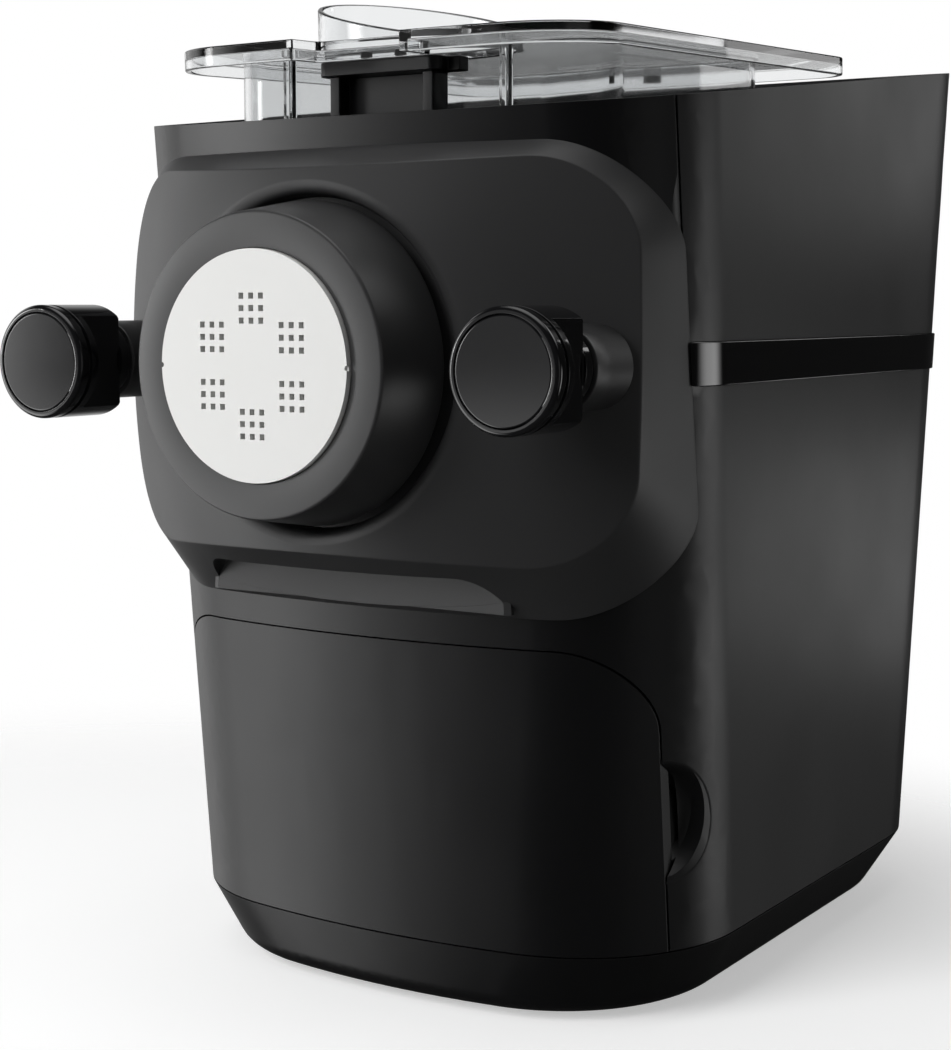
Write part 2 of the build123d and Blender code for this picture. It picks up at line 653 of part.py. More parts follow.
def face_form(shrink=0.0):
    """Everything behind the panel's domed face."""
    sections = []
    for height in (-100, -50, 0, 50, 100):
        places = (-124, -100, -75, -40, 0, 40, 75, 100, 124)
        front = Spline(*[(x, face_depth(x, height) + shrink) for x in places])
        sides = Polyline(front @ 0, (-124, 2 * FLARE_BACK_Y), (124, 2 * FLARE_BACK_Y), front @ 1)
        sections.append(Plane.XY.offset(AXIS_Z + height) * make_face(front + sides))
    return loft(sections)


def flare_section(x, shrink):
    """Section of the flare across the machine: lines from the crease to the rim above and below."""
    share = abs(x / FACE_HALF)
    crease_y = face_depth(x, FACE_TOP)
    corners = []
    for side, crease, rim, middle in ((1, FACE_TOP, PANEL_TOP, RIM_MIDDLE_Y[0]),
                                      (-1, FACE_BOTTOM, PANEL_BOTTOM, RIM_MIDDLE_Y[1])):
        start = crease + FACE_LIFT * share ** 2
        rim_y = middle + (RIM_SIDE_Y - middle) * share ** FACE_POWER
        slope = (rim - start) / (rim_y - crease_y)
        ends = [(y, side * (start + slope * (y - crease_y) - shrink)) for y in (0, FLARE_BACK_Y)]
        corners += ends[::side]
    across = Plane(origin=(x, 0, AXIS_Z), x_dir=(0, 1, 0), z_dir=(1, 0, 0))
    return across * make_face(Polyline(*corners, close=True))


def panel_form(shrink=0.0):
    """Outer form of the front panel: domed face, flare round it and rim outline."""
    flare = loft([flare_section(x, shrink) for x in (-120, -60, 0, 60, 120)])
    slope = (PANEL_HALF - FACE_HALF) / (RIM_SIDE_Y - face_depth(FACE_HALF, 0))
    ends = [FACE_HALF + slope * (y - face_depth(FACE_HALF, 0)) - shrink for y in (0, FLARE_BACK_Y)]
    corners = ((-ends[0], 0), (ends[0], 0), (ends[1], FLARE_BACK_Y), (-ends[1], FLARE_BACK_Y))
    plan = Polyline(*corners, close=True)
    flare &= extrude(make_face(plan), FAR / 2)
    long_edges = flare.edges().filter_by(lambda edge: edge.bounding_box().size.Y > FLARE_BACK_Y - 1)
    flare = fillet(long_edges, FLARE_CORNER - shrink)
    rim = front_outline(PANEL_HALF - shrink, shrink - PANEL_BOTTOM, PANEL_TOP - shrink, PANEL_CORNER - shrink)
    return flare & face_form(shrink) & prism(rim, 0, FLARE_BACK_Y)


def groove_outline(grow=0.0):
    """Front view of the finger groove: rounded above, open below."""
    width = 2 * (GROOVE_HALF + grow)
    height = GROOVE_HEIGHT + 2 * grow
    return Pos(0, -GROOVE_TOP - GROOVE_HEIGHT / 2) * RectangleRounded(width, height, GROOVE_CORNER)


def make_front_panel():
    """Domed cover with the nut's well, two knob bosses and a finger groove in its lower flare."""
    thin = panel_form(PANEL_WALL / 2)
    panel = panel_form() - panel_form(PANEL_WALL)
    panel += rod(WELL_LIP_RADIUS + PANEL_WALL, DOME_Y, WELL_FLOOR_Y + PANEL_WALL) & thin
    for side in (-1, 1):
        boss = rod(BOSS_RADIUS, BOSS_FRONT_Y, STEM_BACK_Y, side * KNOB_X)
        panel += boss & (thin + rod(BOSS_RADIUS, BOSS_FRONT_Y, 2 * BOSS_FRONT_Y, side * KNOB_X))
    panel += prism(groove_outline(GROOVE_BACKING), 0, GROOVE_FLOOR_Y + PANEL_WALL) & thin
    panel -= prism(groove_outline(), 0, GROOVE_FLOOR_Y)
    panel -= rod(WELL_RADIUS, 0, WELL_FLOOR_Y)
    panel -= taper(WELL_LIP_RADIUS, WELL_RADIUS, *WELL_LIP_Y) + rod(WELL_LIP_RADIUS, 0, WELL_LIP_Y[0])
    panel -= rod(TUBE_HEAD_RADIUS + RUN_GAP, 0, FAR / 2)
    for side in (-1, 1):
        panel -= rod(STEM_RADIUS + FIT_GAP, 0, FAR / 2, side * KNOB_X)
    return panel - envelope(PANEL_GAP)


def make_shaping_disc():
    """Shaping disc with six groups of nine square holes."""
    disc = rod(DISC_RADIUS, 0, DISC_THICK) + rod(DISC_FLANGE, DISC_STEP, DISC_THICK)
    disc -= rod(DISC_RADIUS - 7, DISC_THICK - 2, DISC_THICK + 1)
    holes = Sketch() + [
        place * Rectangle(HOLE, HOLE)
        for centre in PolarLocations(HOLE_CIRCLE, 6, start_angle=30, rotate=False)
        for place in [centre * spot for spot in GridLocations(HOLE_PITCH, HOLE_PITCH, 3, 3)]
    ]
    disc -= prism(holes, -1, DISC_THICK + 1)
    for side in (-1, 1):
        disc -= rod(NOTCH_RADIUS, -1, 1.2, side * DISC_RADIUS)
    return disc


def make_nut():
    """Extrusion nut: the ring that clamps the disc on the tube's head."""
    nut = taper(NUT_FRONT_RADIUS, NUT_BACK_RADIUS, NUT_FRONT_Y, NUT_BACK_Y)
    nut = chamfer(nut.edges().filter_by(GeomType.CIRCLE).sort_by(Axis.Y)[0], 1.2)
    nut -= rod(DISC_RADIUS + RUN_GAP, 0, NUT_BACK_Y)
    nut -= rod(TUBE_HEAD_RADIUS + RUN_GAP, LIP_BACK_Y, NUT_BACK_Y + 1)
    return nut


def make_disc_seal():
    """Rubber ring between the disc and the tube's head."""
    return pipe(DISC_FLANGE - 0.5, DISC_FLANGE - 4.5, DISC_THICK + 0.1, TUBE_HEAD_Y - 0.1)


def make_extrusion_tube():
    """Tube from the mixing chamber to the disc, with a wide head for the nut."""
    tube = rod(TUBE_HEAD_RADIUS, TUBE_HEAD_Y, TUBE_HEAD_BACK)
    tube += taper(TUBE_HEAD_RADIUS, TUBE_RADIUS, TUBE_HEAD_BACK, TUBE_HEAD_BACK + 10)
    tube += rod(TUBE_RADIUS, TUBE_HEAD_BACK, CHAMBER_FRONT_Y + CHAMBER_WALL)
    flange_back = CHAMBER_FRONT_Y - SEAL_THICK - CLEAR
    tube += rod(TUBE_RADIUS + TUBE_FLANGE, flange_back - TUBE_FLANGE_THICK, flange_back)
    tube -= taper(TUBE_HEAD_RADIUS - 8, TUBE_BORE, TUBE_HEAD_Y - 0.01, TUBE_HEAD_BACK - 6)
    tube -= rod(TUBE_BORE, 0, CHAMBER_BACK_Y)
    return tube


def make_chamber_seal():
    """Rubber ring between the tube's flange and the chamber."""
    front = CHAMBER_FRONT_Y - SEAL_THICK - CLEAR / 2
    return pipe(TUBE_RADIUS + TUBE_FLANGE - 0.5, TUBE_RADIUS + RUN_GAP, front, front + SEAL_THICK)


# ---------------------------------------------------------------- knobs
def make_knob(side):
    """Locking knob with two grip flats and a groove behind its rim."""
    x = side * KNOB_X
    knob = rod(KNOB_RADIUS, KNOB_FRONT_Y, KNOB_BACK_Y, x)
    knob = fillet(knob.edges().filter_by(GeomType.CIRCLE).sort_by(Axis.Y)[0], 1.8)
    knob = chamfer(knob.edges().filter_by(GeomType.CIRCLE).sort_by(Axis.Y)[-1], 0.8)
    for flank in (-1, 1):
        near = x + flank * KNOB_FLAT
        far = x + flank * KNOB_RADIUS * 2
        knob -= block(min(near, far), max(near, far), KNOB_FLAT_Y, KNOB_BACK_Y + 1, 0, FAR)
    knob -= pipe(KNOB_RADIUS + 2, KNOB_RADIUS - 1.2, KNOB_GROOVE_Y, KNOB_GROOVE_Y + KNOB_GROOVE, x)
    knob += rod(NECK_RADIUS, KNOB_BACK_Y, NECK_BACK_Y, x) & block(-FAR, FAR, 0, FAR, 0, FAR)
    knob -= rod(KNOB_FACE_RADIUS + 0.1, 0, KNOB_FRONT_Y + CAP_THICK, x)
    knob -= rod(STEM_RADIUS, KNOB_STEM_Y, FAR, x)
    return knob


def make_knob_cap(side):
    """Flat inset face of a knob."""
    cap = rod(KNOB_FACE_RADIUS, KNOB_FRONT_Y + 0.1, KNOB_FRONT_Y + CAP_THICK - 0.1, side * KNOB_X)
    return chamfer(cap.edges().filter_by(GeomType.CIRCLE).sort_by(Axis.Y)[0], 0.5)


def make_knob_stem(side):
    """Stem from a knob through the panel, with a cross lug at its end."""
    x = side * KNOB_X
    stem = rod(STEM_RADIUS, KNOB_STEM_Y + 0.1, STEM_BACK_Y, x)
    lug = block(x - LUG_THICK / 2, x + LUG_THICK / 2, STEM_BACK_Y - 8, STEM_BACK_Y,
                AXIS_Z - LUG_HALF, AXIS_Z + LUG_HALF)
    return stem + lug


# ---------------------------------------------------------------- chamber and lid
def lid_plane(drop=0.0, y=LID_FRONT_Y):
    """Plane of the lid's top, lowered by a distance, with its origin at depth y."""
    tilt = radians(LID_TILT)
    height = LID_FRONT_Z + tan(tilt) * (y - LID_FRONT_Y)
    origin = (0, y + drop * sin(tilt), height - drop * cos(tilt))
    return Plane(origin=origin, x_dir=(1, 0, 0), z_dir=(0, -sin(tilt), cos(tilt)))


def above_lid(drop=0.0):
    """Everything above a plane parallel to the lid."""
    return extrude(lid_plane(drop) * Rectangle(FAR, FAR), FAR / 2)


def chamber_form(shrink=0.0):
    """Trough: half round below the axis, upright walls above, rounded into closed ends."""
    half = CHAMBER_HALF - shrink
    front = CHAMBER_FRONT_Y + shrink
    back = CHAMBER_BACK_Y - shrink
    top = FAR / 4
    edges = ThreePointArc((-half, 0), (0, -half), (half, 0))
    edges += Polyline((half, 0), (half, top), (-half, top), (-half, 0))
    form = prism(make_face(edges), front, back)
    ends = form.faces().filter_by(Axis.Y).edges()
    return fillet(ends.filter_by(lambda edge: edge.center().Z < AXIS_Z + top - 1), CHAMBER_CORNER - shrink)


def make_chamber():
    """Clear mixing chamber, open at the top."""
    chamber = chamber_form() - chamber_form(CHAMBER_WALL)
    for side in (-1, 1):
        x = side * CHAMBER_RIB_X
        chamber += block(x - 1.5, x + 1.5, CHAMBER_FRONT_Y - 4, CHAMBER_FRONT_Y + 1,
                         RIM_FRONT_Z - 30, LID_FRONT_Z)
    chamber -= above_lid(LID_PLATE + RUN_GAP)
    chamber -= rod(TUBE_RADIUS + RUN_GAP, 0, CHAMBER_FRONT_Y + 20)
    chamber -= rod(SHAFT_RADIUS + SEAL_RING + RUN_GAP, CHAMBER_BACK_Y - 20, FAR / 2)
    return chamber


def make_shaft_seal():
    """Lip seal of the drive shaft in the chamber's back wall."""
    bore = SHAFT_RADIUS + FIT_GAP
    back = BULKHEAD_Y - CLEAR
    ring = pipe(SHAFT_RADIUS + SEAL_RING, bore, CHAMBER_BACK_Y - CHAMBER_WALL, back)
    return ring + pipe(SHAFT_RADIUS + SEAL_RING + 3, bore, CHAMBER_BACK_Y + CLEAR, back)


def make_chamber_handle():
    """Black grip at the chamber's front edge: a top plate on two legs before a set-back panel."""
    back = CHAMBER_FRONT_Y - 0.2
    top = LID_FRONT_Z - LID_DEPTH + 1.0
    low = RIM_FRONT_Z - DECK_DROP + 1.5
    handle = block(-HANDLE_HALF, HANDLE_HALF, HANDLE_FRONT_Y, back, top - HANDLE_THICK, top)
    handle = fillet(handle.edges().filter_by(Axis.Z).sort_by(Axis.Y)[:2], 4)
    for side in (-1, 1):
        x = side * HANDLE_LEG_X
        handle += block(x - HANDLE_LEG / 2, x + HANDLE_LEG / 2, HANDLE_FRONT_Y + 3, back, low, top - 1)
    handle += block(-HANDLE_LEG_X, HANDLE_LEG_X, back - 4, back, low, top - 1)
    for x in (-5, 10):
        handle += post(2.2, top - 1, top + 2.8, x, HANDLE_FRONT_Y + 2.4)
    catch_x = HANDLE_HALF + 5
    handle += block(HANDLE_HALF - 1, catch_x, back - 6, back, top - HANDLE_THICK, top)
    return handle


def lid_outline(shrink=0.0, notch=0.0):
    """Plan of the lid on its own plane: bowed front with a notch for the handle."""
    half = LID_HALF - shrink
    length = LID_BACK_Y - LID_FRONT_Y - shrink
    edges = ThreePointArc((-half, LID_BOW + shrink), (0, shrink), (half, LID_BOW + shrink))
    edges += Polyline((half, LID_BOW + shrink), (half, length), (-half, length), (-half, LID_BOW + shrink))
    face = make_face(edges)
    face = fillet(face.vertices().sort_by(Axis.Y)[:2], LID_CORNER - shrink)
    face = fillet(face.vertices().sort_by(Axis.Y)[-2:], LID_CORNER / 2 - shrink)
    depth = LID_NOTCH_BACK_Y - LID_FRONT_Y
    cut = RectangleRounded(2 * (LID_NOTCH_HALF + shrink), 2 * (depth + shrink), 3)
    return face - cut


def make_lid():
    """Clear lid: a plate with a deep rim and an oval pour inlet whose wall falls to the right."""
    lid = extrude(lid_plane() * lid_outline(), -LID_DEPTH)
    lid -= extrude(lid_plane(LID_PLATE) * lid_outline(LID_RIM), -LID_DEPTH)
    centre = lid_plane() * Pos(INLET_X, INLET_Y - LID_FRONT_Y, 0)
    outer = centre * extrude(Ellipse(INLET_HALF, INLET_DEPTH), INLET_RISE * 3)
    mouth = Ellipse(INLET_HALF - INLET_WALL, INLET_DEPTH - INLET_WALL)
    inner = centre * Pos(0, 0, -FAR / 8) * extrude(mouth, FAR / 4)
    edge = centre * Pos(0, 0, INLET_RISE) * Rot(INLET_CLIMB, INLET_FALL, 0)
    return lid + (outer - edge * Pos(0, 0, FAR / 4) * Box(FAR, FAR, FAR / 2)) - inner


def make_lid_magnet():
    """Magnet under the lid's back edge for the safety switch."""
    return lid_plane(LID_PLATE + 0.1, LID_BACK_Y - 12) * Pos(0, 0, -1.5) * Cylinder(4, 3)


def make_lid_sensor():
    """Safety switch under the deck below the lid's magnet."""
    place = rim_plane(DECK_DROP + DECK_THICK + 0.1, LID_BACK_Y - 12)
    return place * Pos(0, 0, -3) * Box(20, 10, 6)


# ---------------------------------------------------------------- top deck and controls
def make_top_deck():
    """Deck just under the rim with the chamber's opening and the seat of the control glass."""
    deck = envelope(-WALL - 0.3) & under_rim(DECK_DROP, DECK_THICK)
    opening = block(-CHAMBER_HALF - 1, CHAMBER_HALF + 1, CHAMBER_FRONT_Y - 5, CHAMBER_BACK_Y + 1, 0, FAR)
    opening = fillet(opening.edges().filter_by(Axis.Z), CHAMBER_CORNER)
    deck -= opening
    deck -= block(-HANDLE_HALF - 7, HANDLE_HALF + 7, HANDLE_FRONT_Y - 4.5, CHAMBER_FRONT_Y, 0, FAR)
    seat = rim_plane(DECK_DROP, GLASS_Y)
    deck -= extrude(seat * Rectangle(2 * GLASS_HALF + 0.4, GLASS_DEPTH + 0.4), -GLASS_THICK)
    for x in BUTTON_X:
        deck -= extrude(seat * Pos(x, 0) * Circle(BUTTON_RADIUS + RUN_GAP), -FAR / 8)
    for side in (-1, 1):
        spot = seat * Pos(side * (GLASS_HALF - 8), 0, -DECK_THICK - BOARD_DROP / 2)
        deck += spot * Cylinder(3, BOARD_DROP + 0.4)
    return deck


def make_control_glass():
    """Dark glass strip of the control area, flush in the deck."""
    seat = rim_plane(DECK_DROP, GLASS_Y)
    glass = extrude(seat * Rectangle(2 * GLASS_HALF, GLASS_DEPTH), -GLASS_THICK + 0.1)
    for x in BUTTON_X:
        glass -= extrude(seat * Pos(x, 0) * Circle(BUTTON_RADIUS + RUN_GAP), -FAR / 8)
    return glass


def make_button(x):
    """Round press button with a flange that stops it under the deck."""
    seat = rim_plane(DECK_DROP, GLASS_Y)
    flange_top = -DECK_THICK - 0.2
    stem = extrude(seat * Pos(x, 0, flange_top) * Circle(BUTTON_RADIUS), BUTTON_PROUD - flange_top)
    flange = extrude(seat * Pos(x, 0, flange_top) * Circle(BUTTON_RADIUS + BUTTON_RING), -BUTTON_FLANGE)
    return stem + flange


def make_control_board():
    """Circuit board under the buttons, with one tact switch under each."""
    seat = rim_plane(DECK_DROP + DECK_THICK + BOARD_DROP + 0.4, GLASS_Y)
    board = extrude(seat * Rectangle(2 * GLASS_HALF - 6, GLASS_DEPTH - 6), -BOARD_THICK)
    switch = DECK_THICK + 0.2 + BUTTON_FLANGE + BUTTON_TRAVEL + RUN_GAP
    height = DECK_THICK + BOARD_DROP + 0.4 - switch
    for x in BUTTON_X:
        board += extrude(seat * Pos(x, 0) * Rectangle(6, 6), height)
    return board


# ---------------------------------------------------------------- gears and gearbox
def involute(angle):
    return tan(angle) - angle


def gear_face(teeth, module, phase):
    """Spur gear outline with one tooth centred on the phase angle, degrees from +X towards +Z."""
    pitch = module * teeth / 2
    base = pitch * cos(radians(20))
    tip = pitch + 0.75 * module
    root = pitch - 1.1 * module
    start = max(base, root)
    half = pi / (2 * teeth) - BACKLASH * module / (2 * pitch) + involute(radians(20))
    flank = []
    for step in range(4):
        radius = start + (tip - start) * step / 3
        flank.append((radius, half - involute(acos(min(1.0, base / radius)))))
    points = []
    for tooth in range(teeth):
        middle = radians(phase) + 2 * pi * tooth / teeth
        points.append((root, middle - flank[0][1]))
        points += [(radius, middle - turn) for radius, turn in flank]
        points += [(radius, middle + turn) for radius, turn in reversed(flank)]
        points.append((root, middle + flank[0][1]))
    corners = []
    for radius, turn in points:
        corner = (radius * cos(turn), radius * sin(turn))
        if not corners or hypot(corner[0] - corners[-1][0], corner[1] - corners[-1][1]) > 0.01:
            corners.append(corner)
    return make_face(Polyline(*corners, close=True))


def gear(teeth, module, phase, y0, width, bore, x, z):
    """Spur gear along Y with its centre at x, z."""
    face = Pos(x, z - AXIS_Z) * gear_face(teeth, module, phase)
    return prism(face, y0, y0 + width) - rod(bore, y0 - 1, y0 + width + 1, x, z)


def make_output_gear():
    """Large gear on the drive shaft."""
    wheel = gear(TEETH_OUTPUT, MODULE_SLOW, DOWN, SLOW_Y, GEAR_WIDTH_SLOW, SHAFT_RADIUS, 0, AXIS_Z)
    rim = MODULE_SLOW * TEETH_OUTPUT / 2 - 3 * MODULE_SLOW
    for y0 in (SLOW_Y - 1, SLOW_Y + GEAR_WIDTH_SLOW - 4):
        wheel -= pipe(rim, SHAFT_RADIUS + 7, y0, y0 + 5)
    return wheel


def make_idler_gear():
    """Double gear between motor and output."""
    small_phase = DOWN + 180 + 180 / TEETH_IDLER_SMALL
    small = gear(TEETH_IDLER_SMALL, MODULE_SLOW, small_phase, SLOW_Y, GEAR_WIDTH_SLOW + GEAR_SPACE,
                 IDLER_PIN_RADIUS + FIT_GAP, 0, IDLER_Z)
    large = gear(TEETH_IDLER_LARGE, MODULE_FAST, TO_MOTOR, FAST_Y, GEAR_WIDTH_FAST,
                 IDLER_PIN_RADIUS + FIT_GAP, 0, IDLER_Z)
    return small + large


def make_motor_pinion():
    """Pinion on the motor shaft."""
    phase = TO_MOTOR + 180 + 180 / TEETH_MOTOR
    return gear(TEETH_MOTOR, MODULE_FAST, phase, FAST_Y, GEAR_WIDTH_FAST, MOTOR_SHAFT_RADIUS,
                MOTOR_X, MOTOR_Z)


def gearbox_form(grow, y0, y1):
    """Gearbox outline: circles round the three gears, joined."""
    form = rod(OUTPUT_CASE + grow, y0, y1) + rod(IDLER_CASE + grow, y0, y1, 0, IDLER_Z)
    return form + rod(MOTOR_CASE + grow, y0, y1, MOTOR_X, MOTOR_Z)


def make_gearbox_housing():
    """Gearbox cup bolted to the bulkhead, open at the back."""
    housing = gearbox_form(0, GEARBOX_Y + CLEAR, COVER_Y - CLEAR)
    housing -= gearbox_form(-GEARBOX_WALL, GEARBOX_INNER_Y, FAR)
    housing += rod(SHAFT_RADIUS + BUSH_WALL + 4, GEARBOX_Y + CLEAR, SLOW_Y - BUSH_GAP)
    housing -= rod(SHAFT_RADIUS + BUSH_WALL, 0, SLOW_Y)
    housing += rod(IDLER_PIN_RADIUS + 3, GEARBOX_Y + CLEAR, SLOW_Y - BUSH_GAP, 0, IDLER_Z)
    housing -= rod(IDLER_PIN_RADIUS, GEARBOX_Y + 1, SLOW_Y, 0, IDLER_Z)
    for x, z in COVER_SCREWS:
        housing += rod(SCREW_HEAD + 1, GEARBOX_Y + CLEAR, COVER_Y - CLEAR, x, z)
        housing -= rod(SCREW_SHANK, GEARBOX_INNER_Y, FAR, x, z)
    return housing


def make_gearbox_cover():
    """Back plate of the gearbox that also carries the motor."""
    cover = gearbox_form(0, COVER_Y, COVER_BACK_Y)
    cover += rod(MOTOR_RADIUS + 1, COVER_Y, COVER_BACK_Y, MOTOR_X, MOTOR_Z)
    for x, z in COVER_SCREWS:
        cover += rod(SCREW_HEAD + 1, COVER_Y, COVER_BACK_Y, x, z)
        cover -= rod(SCREW_SHANK + CLEAR, 0, FAR, x, z)
    cover += rod(SHAFT_RADIUS + BUSH_WALL + 4, COVER_Y, COVER_BACK_Y + 6)
    cover -= rod(SHAFT_RADIUS + BUSH_WALL, 0, COVER_BACK_Y + 3)
    cover -= rod(IDLER_PIN_RADIUS, 0, COVER_BACK_Y - 1, 0, IDLER_Z)
    cover -= rod(MOTOR_SHAFT_RADIUS + 3, 0, FAR, MOTOR_X, MOTOR_Z)
    return cover


def make_gearbox_screws():
    """Screws that hold the cover on the gearbox."""
    screws = []
    for x, z in COVER_SCREWS:
        head = rod(SCREW_HEAD - 0.3, COVER_BACK_Y + 0.1, COVER_BACK_Y + 3, x, z)
        head -= Pos(x, COVER_BACK_Y + 3, z) * Box(5, 2, 1)
        screws.append(head + rod(SCREW_SHANK, COVER_Y - 12, COVER_BACK_Y + 0.5, x, z))
    return screws


def make_output_bushes():
    """Plain bearings of the drive shaft, in the gearbox housing and its cover."""
    outer = SHAFT_RADIUS + BUSH_WALL
    inner = SHAFT_RADIUS + FIT_GAP
    return [
        pipe(outer, inner, GEARBOX_Y + CLEAR, SLOW_Y - BUSH_GAP),
        pipe(outer, inner, COVER_Y, COVER_BACK_Y + 3 - BUSH_GAP),
    ]


def make_idler_pin():
    """Fixed pin that the idler turns on."""
    return rod(IDLER_PIN_RADIUS, GEARBOX_Y + 1, COVER_BACK_Y - 1, 0, IDLER_Z)


def make_drive_shaft():
    """Drive shaft from the gearbox into the chamber, with a square end for the paddle."""
    shaft = rod(SHAFT_RADIUS, CHAMBER_BACK_Y - CHAMBER_WALL - 1, COVER_BACK_Y + 2)
    square = DRIVE_SQUARE / 2
    shaft += block(-square, square, CHAMBER_BACK_Y - 24, CHAMBER_BACK_Y - CHAMBER_WALL, AXIS_Z - square,
                   AXIS_Z + square)
    return shaft


def make_mixing_paddle():
    """Mixing paddle: a hub with two cranked arms that sweep the chamber wall."""
    back = CHAMBER_BACK_Y - CHAMBER_WALL - 2
    paddle = rod(HUB_RADIUS, PADDLE_FRONT_Y, back)
    front_arm = PADDLE_FRONT_Y + ARM_INSET
    back_arm = back - ARM_INSET
    thick = ARM_THICK / 2
    top = AXIS_Z + PADDLE_REACH
    for turn, root, low, high in (
        (30, front_arm, front_arm, front_arm + PADDLE_BLADE - ARM_INSET),
        (210, back_arm - ARM_WIDTH, back_arm - PADDLE_BLADE + ARM_INSET, back_arm),
    ):
        crank = block(-thick, thick, root, root + ARM_WIDTH, AXIS_Z, top)
        crank += block(-thick, thick, low, high, top - ARM_WIDTH, top)
        crank = fillet(crank.edges().filter_by(Axis.X), ARM_INSET)
        paddle += Pos(0, 0, AXIS_Z) * Rot(0, turn, 0) * Pos(0, 0, -AXIS_Z) * crank
    half = DRIVE_SQUARE / 2 + SQUARE_GAP
    for y0, y1 in ((PADDLE_FRONT_Y - CUT, PADDLE_FRONT_Y + SCREW_TAIL + 2), (back - DRIVE_TAIL, back + CUT)):
        paddle -= block(-half, half, y0, y1, AXIS_Z - half, AXIS_Z + half)
    return paddle


def make_extrusion_screw():
    """Screw that carries the dough along the tube, with a square tail in the paddle."""
    back = PADDLE_FRONT_Y - 0.3
    screw = rod(SCREW_CORE, SCREW_FRONT_Y, back)
    half = DRIVE_SQUARE / 2
    screw += block(-half, half, back - CUT, PADDLE_FRONT_Y + SCREW_TAIL, AXIS_Z - half, AXIS_Z + half)
    rise = back - SCREW_FRONT_Y - FLIGHT_THICK - 2 * CUT
    width = TUBE_BORE - SCREW_GAP - SCREW_CORE + CUT
    radial = Plane(origin=(SCREW_CORE, 0, 0), x_dir=(1, 0, 0), z_dir=(0, -1, 0))
    section = radial * Pos(width / 2 - CUT, 0) * Rectangle(width, FLIGHT_THICK)
    flight = sweep(section, path=Helix(SCREW_PITCH, rise, SCREW_CORE), is_frenet=True)
    return screw + Pos(0, SCREW_FRONT_Y + FLIGHT_THICK / 2 + CUT, AXIS_Z) * Rot(-90, 0, 0) * flight


# ---------------------------------------------------------------- motor and electrics
def make_motor_can():
    """Motor case, open at the back for its end cap."""
    can = rod(MOTOR_RADIUS, MOTOR_FRONT_Y, MOTOR_BACK_Y, MOTOR_X, MOTOR_Z)
    can -= rod(MOTOR_RADIUS - MOTOR_WALL, MOTOR_FRONT_Y + MOTOR_WALL, FAR, MOTOR_X, MOTOR_Z)
    return can - rod(MOTOR_SHAFT_RADIUS + BUSH_WALL, 0, FAR, MOTOR_X, MOTOR_Z)


def make_motor_end_cap():
    """Back cover of the motor with air slots."""
    cap = rod(MOTOR_RADIUS, MOTOR_BACK_Y + CLEAR / 2, MOTOR_BACK_Y + MOTOR_CAP, MOTOR_X, MOTOR_Z)
    cap -= rod(MOTOR_SHAFT_RADIUS + BUSH_WALL, 0, FAR, MOTOR_X, MOTOR_Z)
    for turn in range(0, 360, 60):
        slot = block(-3, 3, 0, FAR, 14, 28)
        cap -= Pos(MOTOR_X, 0, MOTOR_Z) * Rot(0, turn, 0) * slot
    return cap


def make_motor_bushes():
    """Plain bearings of the motor shaft."""
    outer = MOTOR_SHAFT_RADIUS + BUSH_WALL
    inner = MOTOR_SHAFT_RADIUS + FIT_GAP
    return [
        pipe(outer, inner, MOTOR_FRONT_Y, MOTOR_FRONT_Y + 6, MOTOR_X, MOTOR_Z),
        pipe(outer, inner, MOTOR_BACK_Y - 3, MOTOR_BACK_Y + MOTOR_CAP, MOTOR_X, MOTOR_Z),
    ]


def make_motor_magnets():
    """Two curved magnets inside the motor case."""
    outer = MOTOR_RADIUS - MOTOR_WALL - CLEAR / 2
    ring = pipe(outer, outer - MAGNET_THICK, MOTOR_FRONT_Y + ROTOR_FRONT, MOTOR_BACK_Y - ROTOR_BACK,
                MOTOR_X, MOTOR_Z)
    split = block(MOTOR_X - 9, MOTOR_X + 9, 0, FAR, 0, FAR)
    return list((ring - split).solids())


def make_rotor():
    """Motor rotor: shaft and core."""
    core = rod(ROTOR_RADIUS, MOTOR_FRONT_Y + ROTOR_FRONT, MOTOR_BACK_Y - ROTOR_BACK, MOTOR_X, MOTOR_Z)
    for turn in range(0, 360, 45):
        slot = block(-2, 2, 0, FAR, ROTOR_RADIUS - 8, ROTOR_RADIUS + 2)
        core -= Pos(MOTOR_X, 0, MOTOR_Z) * Rot(0, turn, 0) * slot
    return core + rod(MOTOR_SHAFT_RADIUS, FAST_Y - BUSH_GAP, MOTOR_BACK_Y + MOTOR_CAP + 2, MOTOR_X, MOTOR_Z)


def socket_block(grow=0.0):
    """Body of the mains socket in the back wall."""
    wall = BACK_LOW + BACK_SLOPE * (SOCKET_Z - SEAM_Z)
    half = SOCKET_WIDTH / 2 + grow
    tall = SOCKET_HEIGHT / 2 + grow
    return block(SOCKET_X - half, SOCKET_X + half, wall - SOCKET_LENGTH, wall + SOCKET_FLANGE,
                 SOCKET_Z - tall, SOCKET_Z + tall)


def make_power_inlet():
    """Mains socket with three pins."""
    wall = BACK_LOW + BACK_SLOPE * (SOCKET_Z - SEAM_Z)
    socket = socket_block()
    half = SOCKET_WIDTH / 2 - SOCKET_EDGE
    tall = SOCKET_HEIGHT / 2 - SOCKET_EDGE
    socket -= block(SOCKET_X - half, SOCKET_X + half, wall - SOCKET_LENGTH + 2 * SOCKET_EDGE, FAR,
                    SOCKET_Z - tall, SOCKET_Z + tall)
    for x, z in SOCKET_PINS:
        pin = Pos(SOCKET_X + x, 0, SOCKET_Z + z) * block(-1, 1, wall - SOCKET_LENGTH + SOCKET_EDGE,
                                                         wall - PIN_INSET, -2, 2)
        socket += pin
    return socket


